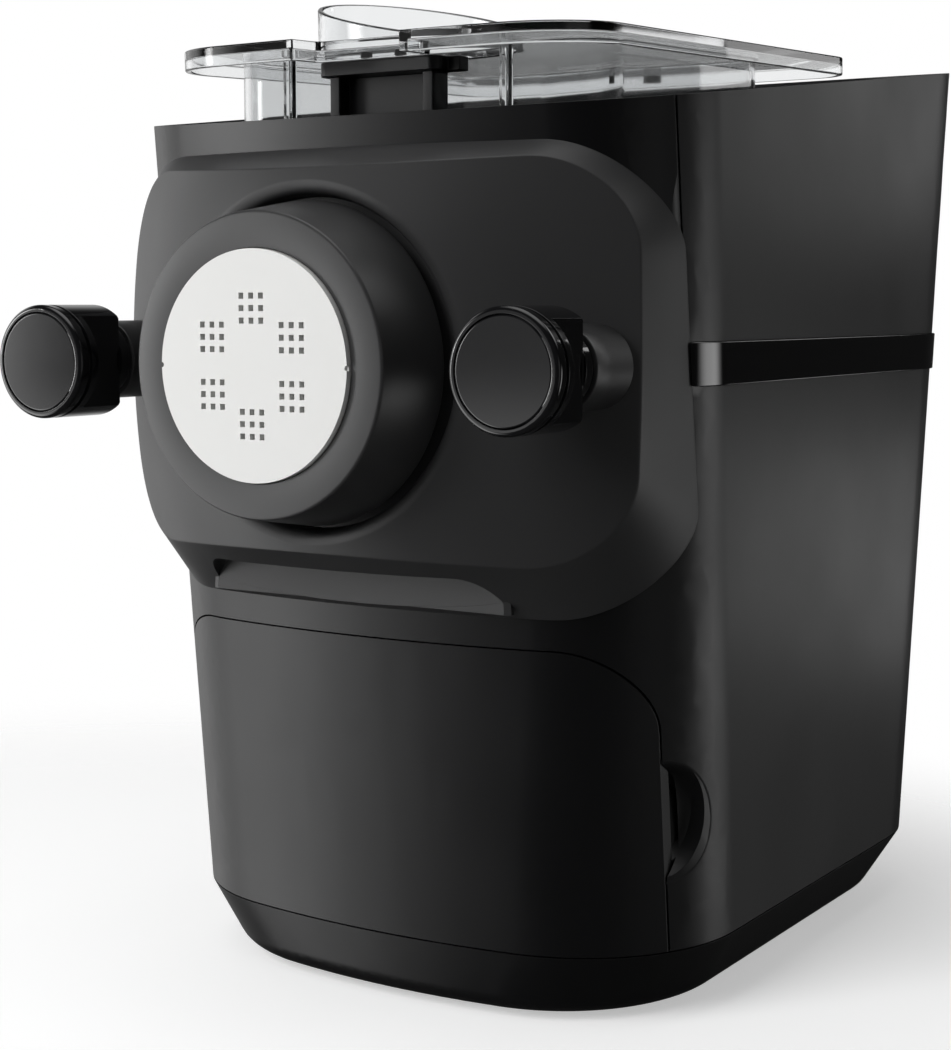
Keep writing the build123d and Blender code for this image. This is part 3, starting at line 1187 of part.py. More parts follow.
def make_power_board():
    """Power circuit board standing on the chassis floor, with its larger parts."""
    low = FLOOR_Z + FLOOR_THICK + CLEAR
    inner = BOARD_X - BOARD_THICK
    board = block(inner, BOARD_X, BOARD_FRONT_Y, BOARD_FRONT_Y + BOARD_LENGTH, low, low + BOARD_HEIGHT)
    for y, z, size in BOARD_PARTS:
        board += Pos(inner - size / 2, BOARD_FRONT_Y + y, low + z) * Box(size, size, size)
    return board


# ---------------------------------------------------------------- files
def save(name, pieces):
    """Write one node, moved so that the origin is under the middle of the machine."""
    if not isinstance(pieces, list):
        pieces = [pieces]
    placed = [Pos(0, -DEPTH / 2, -GROUND_Z) * piece for piece in pieces]
    export_step(placed[0] if len(placed) == 1 else Compound(children=placed), f"parts/{name}.step")


def build():
    os.makedirs("parts", exist_ok=True)
    save("base_tray", make_base_tray())
    save("feet", make_feet())
    save("load_cells", make_load_cells())
    save("base_screws", make_base_screws())
    save("body_shell", make_body_shell())
    save("front_frame", make_front_frame())
    save("side_band", make_side_band())
    save("inner_chassis", make_chassis())
    save("drawer_housing", make_drawer_housing())
    save("drawer_rails", make_drawer_rails())
    save("drawer_front", make_drawer_front())
    save("drawer_tray", make_drawer_tray())
    save("front_panel", make_front_panel())
    save("shaping_disc", make_shaping_disc())
    save("disc_seal", make_disc_seal())
    save("extrusion_nut", make_nut())
    save("extrusion_tube", make_extrusion_tube())
    save("chamber_seal", make_chamber_seal())
    for name, side in (("left", -1), ("right", 1)):
        save(f"{name}_knob", make_knob(side))
        save(f"{name}_knob_cap", make_knob_cap(side))
        save(f"{name}_knob_stem", make_knob_stem(side))
    save("mixing_chamber", make_chamber())
    save("chamber_handle", make_chamber_handle())
    save("shaft_seal", make_shaft_seal())
    save("lid", make_lid())
    save("lid_magnet", make_lid_magnet())
    save("lid_sensor", make_lid_sensor())
    save("top_deck", make_top_deck())
    save("control_glass", make_control_glass())
    for name, x in zip(BUTTON_NAMES, BUTTON_X):
        save(name, make_button(x))
    save("control_board", make_control_board())
    save("output_gear", make_output_gear())
    save("idler_gear", make_idler_gear())
    save("idler_pin", make_idler_pin())
    save("motor_pinion", make_motor_pinion())
    save("gearbox_housing", make_gearbox_housing())
    save("gearbox_cover", make_gearbox_cover())
    save("gearbox_screws", make_gearbox_screws())
    save("output_bushes", make_output_bushes())
    save("drive_shaft", make_drive_shaft())
    save("mixing_paddle", make_mixing_paddle())
    save("extrusion_screw", make_extrusion_screw())
    save("motor_can", make_motor_can())
    save("motor_end_cap", make_motor_end_cap())
    save("motor_bushes", make_motor_bushes())
    save("motor_magnets", make_motor_magnets())
    save("rotor", make_rotor())
    save("power_inlet", make_power_inlet())
    save("power_board", make_power_board())


build()
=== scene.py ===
from math import asin, cos, pi, radians, sin, sqrt, tan

import bmesh
import bpy
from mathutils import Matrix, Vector


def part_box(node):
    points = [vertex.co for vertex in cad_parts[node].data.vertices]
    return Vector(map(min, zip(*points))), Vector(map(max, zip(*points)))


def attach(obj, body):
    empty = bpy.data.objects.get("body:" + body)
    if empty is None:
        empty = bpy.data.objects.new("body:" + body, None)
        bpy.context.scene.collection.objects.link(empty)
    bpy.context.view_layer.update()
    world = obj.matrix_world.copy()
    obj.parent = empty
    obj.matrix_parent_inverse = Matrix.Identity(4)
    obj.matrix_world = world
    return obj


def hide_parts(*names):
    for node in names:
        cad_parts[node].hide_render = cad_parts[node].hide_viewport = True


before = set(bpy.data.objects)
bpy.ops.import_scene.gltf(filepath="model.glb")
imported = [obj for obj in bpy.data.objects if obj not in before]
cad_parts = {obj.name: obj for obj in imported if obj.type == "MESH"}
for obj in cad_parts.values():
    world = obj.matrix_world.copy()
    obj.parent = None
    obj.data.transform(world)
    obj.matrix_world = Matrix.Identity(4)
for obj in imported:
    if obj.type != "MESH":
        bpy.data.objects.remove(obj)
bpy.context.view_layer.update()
mm = 0.001

# ---------------------------------------------------------------- base tray
# The tray closes the body from below. It is moulded in black ABS with a fine
# spark-eroded grain, and screws through it pull the drawer's housing down.
# Its lower edge is strongly rounded, so only the feet are seen to touch.


def shader_node(tree, kind, values=(), **settings):
    """A shader node with its settings, and its input values by name or number."""
    made = tree.nodes.new(kind)
    for name, value in settings.items():
        setattr(made, name, value)
    for name, value in dict(values).items():
        made.inputs[name].default_value = value
    return made


def open_group(name, inputs, outputs):
    """An empty shader group with named float or vector sockets, and its two end nodes."""
    group = bpy.data.node_groups.new(name, "ShaderNodeTree")
    for socket, value in inputs.items():
        kind = "NodeSocketVector" if value is None else "NodeSocketFloat"
        made = group.interface.new_socket(name=socket, in_out="INPUT", socket_type=kind)
        if value is not None:
            made.default_value = value
    for socket in outputs:
        group.interface.new_socket(name=socket, in_out="OUTPUT", socket_type="NodeSocketFloat")
    return group, group.nodes.new("NodeGroupInput"), group.nodes.new("NodeGroupOutput")


def build_moulded_grain():
    """Height of a spark-eroded mould surface, and slow patches where hands and flow left it smoother."""
    group, given, result = open_group(
        "moulded grain", {"Vector": None, "Grain Size": 0.5 * mm, "Patch Size": 60 * mm}, ("Height", "Patch"))
    for size, output, detail in (("Grain Size", "Height", 2.0), ("Patch Size", "Patch", 5.0)):
        per_metre = shader_node(group, "ShaderNodeMath", {0: 1.0}, operation="DIVIDE")
        noise = shader_node(group, "ShaderNodeTexNoise", {"Detail": detail, "Roughness": 0.55})
        group.links.new(given.outputs[size], per_metre.inputs[1])
        group.links.new(per_metre.outputs[0], noise.inputs["Scale"])
        group.links.new(given.outputs["Vector"], noise.inputs["Vector"])
        group.links.new(noise.outputs["Fac"], result.inputs[output])
    return group


moulded_grain = build_moulded_grain()


def new_material(name, colour, **sockets):
    """A material whose Principled shader has these plain values on its own sockets."""
    material = bpy.data.materials.new(name)
    material.use_nodes = True
    shader = material.node_tree.nodes["Principled BSDF"]
    shader.inputs["Base Color"].default_value = (*colour, 1.0)
    for socket, value in sockets.items():
        shader.inputs[socket.replace("_", " ")].default_value = value
    material.diffuse_color = (*colour, 1.0)
    return material, material.node_tree, shader


def plastic(name, colour, worn, roughness, spread, grain, depth, patch=60 * mm, **sockets):
    """Moulded plastic: two close colours and a roughness that follow slow patches, and a fine grain."""
    material, tree, shader = new_material(name, colour, **sockets)
    place = shader_node(tree, "ShaderNodeTexCoord")
    texture = shader_node(tree, "ShaderNodeGroup", node_tree=moulded_grain)
    texture.inputs["Grain Size"].default_value = grain
    texture.inputs["Patch Size"].default_value = patch
    tint = shader_node(tree, "ShaderNodeMix", data_type="RGBA")
    tint.inputs["A"].default_value = (*colour, 1.0)
    tint.inputs["B"].default_value = (*worn, 1.0)
    gloss = shader_node(tree, "ShaderNodeMapRange", {
        "From Min": 0.3, "From Max": 0.7, "To Min": roughness - spread, "To Max": roughness + spread})
    relief = shader_node(tree, "ShaderNodeBump", {"Strength": 1.0, "Distance": depth})
    tree.links.new(place.outputs["Object"], texture.inputs["Vector"])
    tree.links.new(texture.outputs["Patch"], tint.inputs["Factor"])
    tree.links.new(texture.outputs["Patch"], gloss.inputs["Value"])
    tree.links.new(texture.outputs["Height"], relief.inputs["Height"])
    tree.links.new(tint.outputs["Result"], shader.inputs["Base Color"])
    tree.links.new(gloss.outputs["Result"], shader.inputs["Roughness"])
    tree.links.new(relief.outputs["Normal"], shader.inputs["Normal"])
    return material


def settle(piece, material, body, replaced=()):
    """Give a finished piece its material and its body, and hide the CAD nodes that it stands for."""
    if not piece.data.materials:
        piece.data.materials.append(material)
    piece.data.shade_smooth()
    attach(piece, body)
    if replaced:
        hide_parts(*replaced)


def add_piece(name, mesh):
    """A new object in the scene with that mesh."""
    piece = bpy.data.objects.new(name, mesh)
    bpy.context.scene.collection.objects.link(piece)
    return piece


def moulding(node, name, material, body, edge=0.5 * mm, steps=2, sharp=28, flat=0.4):
    """A CAD node's own form as a moulded piece: its faces cleaned, and its sharp edges rounded."""
    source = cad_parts[node].data
    mesh = bpy.data.meshes.new(name)
    mesh.from_pydata([vertex.co for vertex in source.vertices], [],
                     [face.vertices for face in source.polygons])
    form = bmesh.new()
    form.from_mesh(mesh)
    bmesh.ops.remove_doubles(form, verts=form.verts, dist=0.002 * mm)
    bmesh.ops.dissolve_limit(form, angle_limit=radians(flat), verts=form.verts, edges=form.edges)
    form.to_mesh(mesh)
    form.free()
    piece = add_piece(name, mesh)
    rounding = piece.modifiers.new("edge rounding", "BEVEL")
    rounding.width = edge
    rounding.segments = steps
    rounding.limit_method = "ANGLE"
    rounding.angle_limit = radians(sharp)
    rounding.miter_outer = "MITER_ARC"
    shading = piece.modifiers.new("face normals", "WEIGHTED_NORMAL")
    shading.keep_sharp = True
    settle(piece, material, body, [node])


def carry(material, *nodes):
    """CAD nodes that stay as they are get their material."""
    for node in nodes:
        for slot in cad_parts[node].material_slots:
            slot.material = material


satin_black = plastic("satin black ABS", (0.0025, 0.0025, 0.0028), (0.0035, 0.0035, 0.0038), 0.38, 0.03,
                      0.45 * mm, 0.004 * mm, Specular_IOR_Level=0.42)
moulding("base_tray", "base_tray_moulding", satin_black, "machine")

# ---------------------------------------------------------------- feet, load cells and base screws
# Four round rubber feet carry the machine through milled bending bars that
# weigh the flour. The screws are zinc-plated, with a single slot.


def build_turned_marks():
    """Fine lines left by a tool or a brush, stretched along one axis."""
    group, given, result = open_group(
        "tool marks", {"Vector": None, "Line Width": 0.3 * mm, "Stretch": 0.04}, ("Height", "Streak"))
    squeeze = shader_node(group, "ShaderNodeVectorMath", operation="MULTIPLY")
    stretch = shader_node(group, "ShaderNodeCombineXYZ", {"X": 1.0, "Z": 1.0})
    per_metre = shader_node(group, "ShaderNodeMath", {0: 1.0}, operation="DIVIDE")
    fine = shader_node(group, "ShaderNodeTexNoise", {"Detail": 3.0})
    coarse = shader_node(group, "ShaderNodeTexNoise", {"Scale": 120.0, "Detail": 4.0})
    group.links.new(given.outputs["Stretch"], stretch.inputs["Y"])
    group.links.new(given.outputs["Vector"], squeeze.inputs[0])
    group.links.new(stretch.outputs[0], squeeze.inputs[1])
    group.links.new(given.outputs["Line Width"], per_metre.inputs[1])
    group.links.new(per_metre.outputs[0], fine.inputs["Scale"])
    group.links.new(squeeze.outputs[0], fine.inputs["Vector"])
    group.links.new(given.outputs["Vector"], coarse.inputs["Vector"])
    group.links.new(fine.outputs["Fac"], result.inputs["Height"])
    group.links.new(coarse.outputs["Fac"], result.inputs["Streak"])
    return group


tool_marks = build_turned_marks()


def metal(name, colour, dull, roughness, spread, line, depth):
    """Bare metal: two close colours, tool marks and a roughness that follows its stains."""
    material, tree, shader = new_material(name, colour, Metallic=1.0)
    place = shader_node(tree, "ShaderNodeTexCoord")
    marks = shader_node(tree, "ShaderNodeGroup", node_tree=tool_marks)
    marks.inputs["Line Width"].default_value = line
    tint = shader_node(tree, "ShaderNodeMix", data_type="RGBA")
    tint.inputs["A"].default_value = (*colour, 1.0)
    tint.inputs["B"].default_value = (*dull, 1.0)
    gloss = shader_node(tree, "ShaderNodeMapRange", {
        "To Min": roughness - spread, "To Max": roughness + spread})
    relief = shader_node(tree, "ShaderNodeBump", {"Strength": 1.0, "Distance": depth})
    tree.links.new(place.outputs["Object"], marks.inputs["Vector"])
    tree.links.new(marks.outputs["Streak"], tint.inputs["Factor"])
    tree.links.new(marks.outputs["Streak"], gloss.inputs["Value"])
    tree.links.new(marks.outputs["Height"], relief.inputs["Height"])
    tree.links.new(tint.outputs["Result"], shader.inputs["Base Color"])
    tree.links.new(gloss.outputs["Result"], shader.inputs["Roughness"])
    tree.links.new(relief.outputs["Normal"], shader.inputs["Normal"])
    return material


foot_rubber = plastic("foot rubber", (0.012, 0.012, 0.012), (0.02, 0.02, 0.019), 0.75, 0.08,
                      0.6 * mm, 0.02 * mm)
milled_alloy = metal("milled aluminium", (0.78, 0.79, 0.8), (0.6, 0.61, 0.63), 0.32, 0.06,
                     0.4 * mm, 0.004 * mm)
zinc_plate = metal("zinc plate", (0.66, 0.67, 0.7), (0.5, 0.5, 0.47), 0.25, 0.08, 0.3 * mm, 0.002 * mm)
carry(foot_rubber, "feet")
carry(milled_alloy, "load_cells")
carry(zinc_plate, "base_screws", "gearbox_screws")

# ---------------------------------------------------------------- body shell and band
# The shell is one tall ABS moulding with straight draft, round corners, air
# slots and a socket at the back, and finger dishes beside the drawer. A gloss
# band is set into its sides and back at the height of the extrusion axis.
gloss_black = plastic("gloss black ABS", (0.004, 0.004, 0.0045), (0.005, 0.005, 0.0055), 0.07, 0.015,
                      1.5 * mm, 0.0006 * mm, patch=25 * mm, Coat_Weight=0.3, Coat_Roughness=0.03)
moulding("body_shell", "body_shell_moulding", satin_black, "machine", edge=0.5 * mm, flat=0.01)

disc_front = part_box("shaping_disc")[0].y
axis_height = (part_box("shaping_disc")[0].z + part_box("shaping_disc")[1].z) / 2
# The body's plan, at its lowest height and at its top.
body_low, body_tall, front_bow = axis_height - 213.3 * mm, 343.3 * mm, 18.5 * mm
half_widths, front_depths, corner_radii = (115.7 * mm, 121.2 * mm), (68 * mm, 49 * mm), (67 * mm, 50 * mm)
# The finger dish: its place, and radius and depth in mm from its soft edge to its middle.
dish_height, dish_edge, dish_wall = axis_height - 164.3 * mm, 106.35 * mm, 0.9 * mm
dish_profile = ((23.2, -0.06), (22.4, -0.03), (21.6, 0.25), (20.6, 1), (19.4, 2.2), (18.2, 3.4), (17, 4.2),
                (15.6, 4.7), (13, 5), (9, 5.1), (5, 5.1), (0.5, 5.1))


def body_plan(height):
    """Front depth, bow radius, and centre and radius of the right corner of the body's plan at a height."""
    share = (height - body_low) / body_tall
    half, front, corner = (
        low + (high - low) * share for low, high in (half_widths, front_depths, corner_radii))
    bow = (half ** 2 + front_bow ** 2) / (2 * front_bow)
    return front, bow, half - corner, front + bow - sqrt((bow - corner) ** 2 - (half - corner) ** 2), corner


def join_rings(form, rings, closed=False):
    """Faces from each round ring to the next, and from the last to the first where that closes the form."""
    for near, far in zip(rings, rings[1:] + rings[:1] if closed else rings[1:]):
        for index in range(len(near)):
            following = (index + 1) % len(near)
            form.faces.new((near[index], far[index], far[following], near[following]))


def finished(form, name):
    """A mesh of a form, with its faces turned outwards."""
    bmesh.ops.recalc_face_normals(form, faces=form.faces)
    mesh = bpy.data.meshes.new(name)
    form.to_mesh(mesh)
    form.free()
    return mesh


def dish_mesh(name, side, steps=72):
    """A soft round bowl under the body's rounded corner, cut straight at the drawer's edge."""
    form = bmesh.new()
    skins = []
    for skin in (0.0, dish_wall):
        grid = []
        for radius, depth in dish_profile:
            ring = []
            for step in range(steps):
                turn = 2 * pi * step / steps
                height = dish_height + radius * mm * sin(turn)
                centre_x, centre_y, corner = body_plan(height)[2:]
                swing = asin((dish_edge - centre_x) / corner) + radius * mm * cos(turn) / corner
                reach = corner - depth * mm - skin
                ring.append(form.verts.new((side * (centre_x + reach * sin(swing)),
                                            disc_front + centre_y - reach * cos(swing), height)))
            grid.append(ring)
        skins.append(grid)
    for rings in (*skins, [skins[0][0], skins[1][0]]):
        join_rings(form, rings)
    for grid in skins:
        form.faces.new(grid[-1])
    cut = bmesh.ops.bisect_plane(form, geom=form.verts[:] + form.edges[:] + form.faces[:],
                                 plane_co=(side * dish_edge, 0, 0), plane_no=(-side, 0, 0), clear_outer=True)
    rim = [edge for edge in cut["geom_cut"] if isinstance(edge, bmesh.types.BMEdge)]
    bmesh.ops.edgeloop_fill(form, edges=rim)
    return finished(form, name)


for side, hand in ((-1, "left"), (1, "right")):
    bowl = add_piece(f"{hand}_finger_dish", dish_mesh(f"{hand}_finger_dish", side))
    bowl.data.set_sharp_from_angle(angle=radians(60))
    settle(bowl, satin_black, "machine")
moulding("side_band", "side_band_strip", gloss_black, "machine", edge=0.35 * mm)

# ---------------------------------------------------------------- front frame
# The frame is a separate moulding behind the front panel. Its upper part shows
# above the panel, and it holds the round sockets of the two locking stems.
moulding("front_frame", "front_frame_moulding", satin_black, "machine", edge=0.4 * mm)

# ---------------------------------------------------------------- chassis, drawer housing and rails
# Unseen grey glass-filled plastic that carries the chamber, the gearbox and
# the drawer.
inner_grey = plastic("glass-filled grey", (0.12, 0.12, 0.125), (0.16, 0.16, 0.165), 0.6, 0.08,
                     0.8 * mm, 0.01 * mm)
carry(inner_grey, "inner_chassis", "drawer_housing", "drawer_rails", "lid_sensor", "motor_end_cap",
      "power_inlet")

# ---------------------------------------------------------------- drawer
# The front of the drawer is cut from the same curved form as the body, with a
# fine gap round it. Behind it hangs a plain tray for the shaping discs.
moulding("drawer_front", "drawer_front_moulding", satin_black, "drawer", edge=0.4 * mm)
moulding("drawer_tray", "drawer_tray_moulding", inner_grey, "drawer", edge=0.6 * mm)

# ---------------------------------------------------------------- front panel
# A thick matte moulding that pulls off for cleaning: a shallow domed face, a
# crease round it, and a flare that runs back to the body. A well with a soft
# lip is sunk round the nut, and a finger groove is cut into the lower flare.
face_apex, face_bow, face_roll, face_power = 22.5 * mm, 44.7 * mm, 8 * mm, 2.4
face_half, face_top, face_bottom = 112.7 * mm, 68 * mm, 66.5 * mm
crease_lift, crease_tuck = 4.2 * mm, 5.2 * mm
crease_corner, crease_round = 32 * mm, 0.7 * mm
rim_half, rim_top, rim_bottom, rim_corner = 115.7 * mm, 76.2 * mm, 89.3 * mm, 37.5 * mm
panel_wall, panel_gap = 3.5 * mm, 0.4 * mm
tube_hole, well_radius, well_floor, lip_radius = 46.3 * mm, 58.5 * mm, 38 * mm, 63.5 * mm
groove_half, groove_top, groove_corner, groove_floor = 64 * mm, 73.5 * mm, 12 * mm, 58.4 * mm
groove_low, groove_wall, groove_sink = 2.2 * mm - rim_bottom, 2.4 * mm, 1.2 * mm
cutter_reach, cutter_front = 60 * mm, -5 * mm


def rounded_outline(half, bottom, top, corner, long_side=54, short_side=26, arc=20):
    """Rounded rectangle seen from the front, as points about the axis, from the right side upwards."""
    corners = ((half - corner, top - corner), (corner - half, top - corner),
               (corner - half, corner - bottom), (half - corner, corner - bottom))
    points = []
    for index, (x, z) in enumerate(corners):
        turns = [radians(90 * (index + step / arc)) for step in range(arc + 1)]
        points += [Vector((x + corner * cos(turn), z + corner * sin(turn))) for turn in turns]
        next_x, next_z = corners[(index + 1) % 4]
        goal = Vector((next_x + corner * cos(turns[-1]), next_z + corner * sin(turns[-1])))
        side = (long_side, short_side)[index % 2]
        points += [points[-1].lerp(goal, step / side) for step in range(1, side)]
    return points


def face_depth(point):
    """Depth of the domed face behind the disc's front at a point of the front view."""
    bowed = face_bow * abs(point.x / face_half) ** face_power
    return face_apex + bowed + face_roll * (point.y / face_top) ** 2


def body_front(x, height):
    """Depth of the body's bowed and rounded front behind the disc's front."""
    front, bow, centre_x, centre_y, corner = body_plan(height)
    if abs(x) <= bow * centre_x / (bow - corner):
        return front + bow - sqrt(bow ** 2 - x ** 2)
    return centre_y - sqrt(corner ** 2 - (abs(x) - centre_x) ** 2)


def panel_rings():
    """Rings of the panel's closed shell, from the tube's hole over the face to the rim and back inside."""
    crease = []
    for point in rounded_outline(face_half, face_bottom, face_top, crease_corner):
        crease.append(Vector((point.x - crease_tuck * (point.x / face_half) * (point.y / face_top) ** 2,
                              point.y + crease_lift * (point.y / face_top) * (point.x / face_half) ** 2)))
    rim = rounded_outline(rim_half, rim_bottom, rim_top, rim_corner)
    aims = [point.normalized() for point in crease]

    def circle(radius, depth=None, behind_lip=0.0):
        """A round ring, at one depth or behind the face's own depth at the lip."""
        return [(aim * radius, face_depth(aim * lip_radius) + behind_lip if depth is None else depth)
                for aim in aims]

    def on_face(share, behind=0.0, inset=0.0):
        """A ring on the face between the lip and the crease."""
        spots = [(aim * lip_radius).lerp(point - aim * inset, share) for aim, point in zip(aims, crease)]
        return [(spot, face_depth(spot) + behind) for spot in spots]

    def on_flare(share, behind=0.0, inset=0.0):
        """A ring on the flare between the crease and the rim."""
        ring = []
        for point, end in zip(crease, rim):
            rear = body_front(end.x, axis_height + end.y) - panel_gap
            spot = point.lerp(end, share)
            ring.append((spot - spot.normalized() * inset,
                         face_depth(point) * (1 - share) + rear * share + behind))
        return ring

    # The tube's hole, and the well's floor and wall with a small round between them.
    well_round = 0.8 * mm
    rings = [circle(tube_hole, well_floor + panel_wall), circle(tube_hole, well_floor),
             circle(tube_hole + 0.6 * mm, well_floor), circle(well_radius - well_round, well_floor),
             circle(well_radius, well_floor - well_round)]
    # The well's soft lip: how far it lies outside the wall and behind the face, in mm.
    for outside, behind in ((0, 4.6), (0.25, 2.6), (1.2, 1), (2.8, 0.2)):
        rings.append(circle(well_radius + outside * mm, behind_lip=behind * mm))
    # The face, its crease and the flare.
    face_shares = (0.0, 0.06, 0.14, 0.24, 0.34, 0.44, 0.54, 0.64, 0.74, 0.84, 0.92, 0.97)
    rings += [on_face(share) for share in face_shares]
    rings += [on_face(1.0, inset=crease_round), on_flare(0.0), on_flare(0.035)]
    rings += [on_flare(share) for share in (0.1, 0.22, 0.36, 0.5, 0.64, 0.78, 0.9, 0.98)]
    # The rim, and the inner side back to the hole.
    rings += [on_flare(1.0, -0.3 * mm, 0.05 * mm), on_flare(1.0, 0.0, 0.6 * mm), on_flare(1.0, 0.0, 3 * mm)]
    rings += [on_flare(share, 1 * mm, panel_wall) for share in (0.85, 0.4, 0.1)]
    rings += [on_face(share, panel_wall, panel_wall) for share in (0.97, 0.7, 0.4, 0.1)]
    rings.append(circle(lip_radius - 1 * mm, well_floor + panel_wall))
    return rings


def ring_mesh(name, rings, capped=False):
    """A closed mesh through rings of front-view points with depths, in a loop or capped at both ends."""
    form = bmesh.new()
    grid = [[form.verts.new((point.x, disc_front + depth, axis_height + point.y)) for point, depth in ring]
            for ring in rings]
    join_rings(form, grid, closed=not capped)
    if capped:
        for end in (grid[0], grid[-1]):
            form.faces.new(end)
    return finished(form, name)


def apply_modifiers(piece):
    """Put a piece's modified mesh in place of its own and remove the modifiers."""
    graph = bpy.context.evaluated_depsgraph_get()
    mesh = bpy.data.meshes.new_from_object(piece.evaluated_get(graph), depsgraph=graph)
    piece.modifiers.clear()
    piece.data = mesh


def carve(piece, cutter):
    """Cut one closed piece out of another and drop the cutter."""
    cut = piece.modifiers.new("cut", "BOOLEAN")
    cut.operation = "DIFFERENCE"
    cut.solver = "EXACT"
    cut.object = cutter
    apply_modifiers(piece)
    bpy.data.objects.remove(cutter)


matte_panel = plastic("matte dark polycarbonate", (0.023, 0.023, 0.0235), (0.027, 0.027, 0.0275), 0.46, 0.03,
                      0.4 * mm, 0.006 * mm, Specular_IOR_Level=0.5)
front_panel = add_piece("front_panel_moulding", ring_mesh("front_panel_moulding", panel_rings()))
smoothing = front_panel.modifiers.new("smoothing", "SUBSURF")
smoothing.levels = smoothing.render_levels = 1
apply_modifiers(front_panel)


def groove_outline(grow, low, arc_steps=10, low_steps=60):
    """Front view of the finger groove: rounded above, cut straight at its lower end."""
    half, top, corner = groove_half + grow, grow - groove_top, groove_corner + grow
    points = [Vector((half, low))]
    for side in (1, -1):
        arc = [radians(90 * step / arc_steps) for step in range(arc_steps + 1)][::side]
        points += [Vector((side * (half - corner + corner * cos(turn)), top - corner + corner * sin(turn)))
                   for turn in arc]
    points.append(Vector((-half, low)))
    return points + [points[-1].lerp(points[0], step / low_steps) for step in range(1, low_steps)]


def flare_depth(point):
    """Depth of the lower flare's surface at a point of the front view."""
    crease = Vector((point.x, -face_bottom - crease_lift * (point.x / face_half) ** 2))
    share = (crease.y - point.y) / (crease.y + rim_bottom)
    rear = body_front(point.x, axis_height - rim_bottom) - panel_gap
    return face_depth(crease) * (1 - share) + rear * share


def groove_ring(outline, deepest):
    """The groove's wall where it meets the flare, just under its surface, as points with depths."""
    return [(point, min(flare_depth(point) + groove_sink, deepest)) for point in outline]


cutter_outline = groove_outline(0.0, -groove_top - cutter_reach)
cutter_rings = [[(point, depth) for point in cutter_outline] for depth in (cutter_front, groove_floor)]
carve(front_panel, add_piece("groove cutter", ring_mesh("groove cutter", cutter_rings, capped=True)))
front_panel.data.set_sharp_from_angle(angle=radians(30))
settle(front_panel, matte_panel, "front_panel", ["front_panel"])

inside, outside = groove_outline(0.0, groove_low), groove_outline(groove_wall, groove_low)
groove_pocket = add_piece("front_panel_groove", ring_mesh("front_panel_groove", [
    [(point, groove_floor + 0.1 * mm) for point in inside], groove_ring(inside, groove_floor),
    groove_ring(outside, groove_floor + 1 * mm), [(point, groove_floor + 3 * mm) for point in outside]],
    capped=True))
groove_pocket.data.set_sharp_from_angle(angle=radians(30))
settle(groove_pocket, matte_panel, "front_panel")

# ---------------------------------------------------------------- shaping disc, nut and tube
# The white disc is moulded with groups of square holes that shape the dough.
# The nut clamps it on the tube's head: one thick matte ring with a flat front
# and a tapering side.


def rounded_path(points, radii, steps=4):
    """A path of straight runs with an arc of the given radius at each inner point."""
    path = [Vector(points[0])]
    for before, corner, after, radius in zip(points, points[1:], points[2:], radii):
        corner = Vector(corner)
        back, ahead = Vector(before) - corner, Vector(after) - corner
        half = back.angle(ahead) / 2
        reach = min(radius / tan(half), 0.49 * back.length, 0.49 * ahead.length)
        start, end = corner + back.normalized() * reach, corner + ahead.normalized() * reach
        for step in range(steps + 1):
            share = step / steps
            path.append(start.lerp(corner, share).lerp(corner.lerp(end, share), share))
    return path + [Vector(points[-1])]


def turned(name, profile, x=0.0, segments=96):
    """A turned ring about the line along Y through x at the axis height; its path is radius and depth."""
    form = bmesh.new()
    turns = [2 * pi * step / segments for step in range(segments)]
    rings = [[form.verts.new((x + radius * cos(turn), disc_front + depth, axis_height + radius * sin(turn)))
              for turn in turns] for radius, depth in profile]
    join_rings(form, rings, closed=True)
    return finished(form, name)


# Depths of the nut's front, of the disc's seat, of its bore's middle and of its back. Then the radii
# of its mouth and bore, and of its side at the front and at the back. The path ends where it starts,
# so its last point is left out.
nut_front, nut_seat, nut_middle, nut_back = 1.9 * mm, 4 * mm, 20 * mm, 32 * mm
nut_mouth, nut_bore, nut_face, nut_foot = 39.8 * mm, 46.3 * mm, 52.3 * mm, 57 * mm
nut_profile = rounded_path(
    [(nut_bore, nut_middle), (nut_bore, nut_seat), (nut_mouth, nut_seat), (nut_mouth, nut_front),
     (nut_face, nut_front), (nut_foot, nut_back), (nut_bore, nut_back), (nut_bore, nut_middle)],
    [0.5 * mm, 0.3 * mm, 0.35 * mm, 1.2 * mm, 0.9 * mm, 0.5 * mm])[:-1]
matte_nut = plastic("matte dark nylon", (0.022, 0.022, 0.0225), (0.026, 0.026, 0.0265), 0.4, 0.03,
                    0.4 * mm, 0.004 * mm, Specular_IOR_Level=0.65)
nut = add_piece("extrusion_nut_ring", turned("extrusion_nut_ring", nut_profile, segments=160))
settle(nut, matte_nut, "nut", ["extrusion_nut"])

disc_white = plastic("white acetal", (0.74, 0.74, 0.73), (0.7, 0.7, 0.685), 0.33, 0.04, 0.5 * mm, 0.001 * mm)
carry(disc_white, "shaping_disc")
silicone = plastic("seal silicone", (0.5, 0.5, 0.5), (0.55, 0.55, 0.54), 0.5, 0.05, 0.6 * mm, 0.004 * mm)
food_white = plastic("food-grade white", (0.68, 0.68, 0.67), (0.72, 0.72, 0.71), 0.4, 0.05,
                     0.6 * mm, 0.003 * mm)
carry(silicone, "disc_seal", "chamber_seal", "shaft_seal")
carry(food_white, "extrusion_tube", "extrusion_screw", "mixing_paddle")

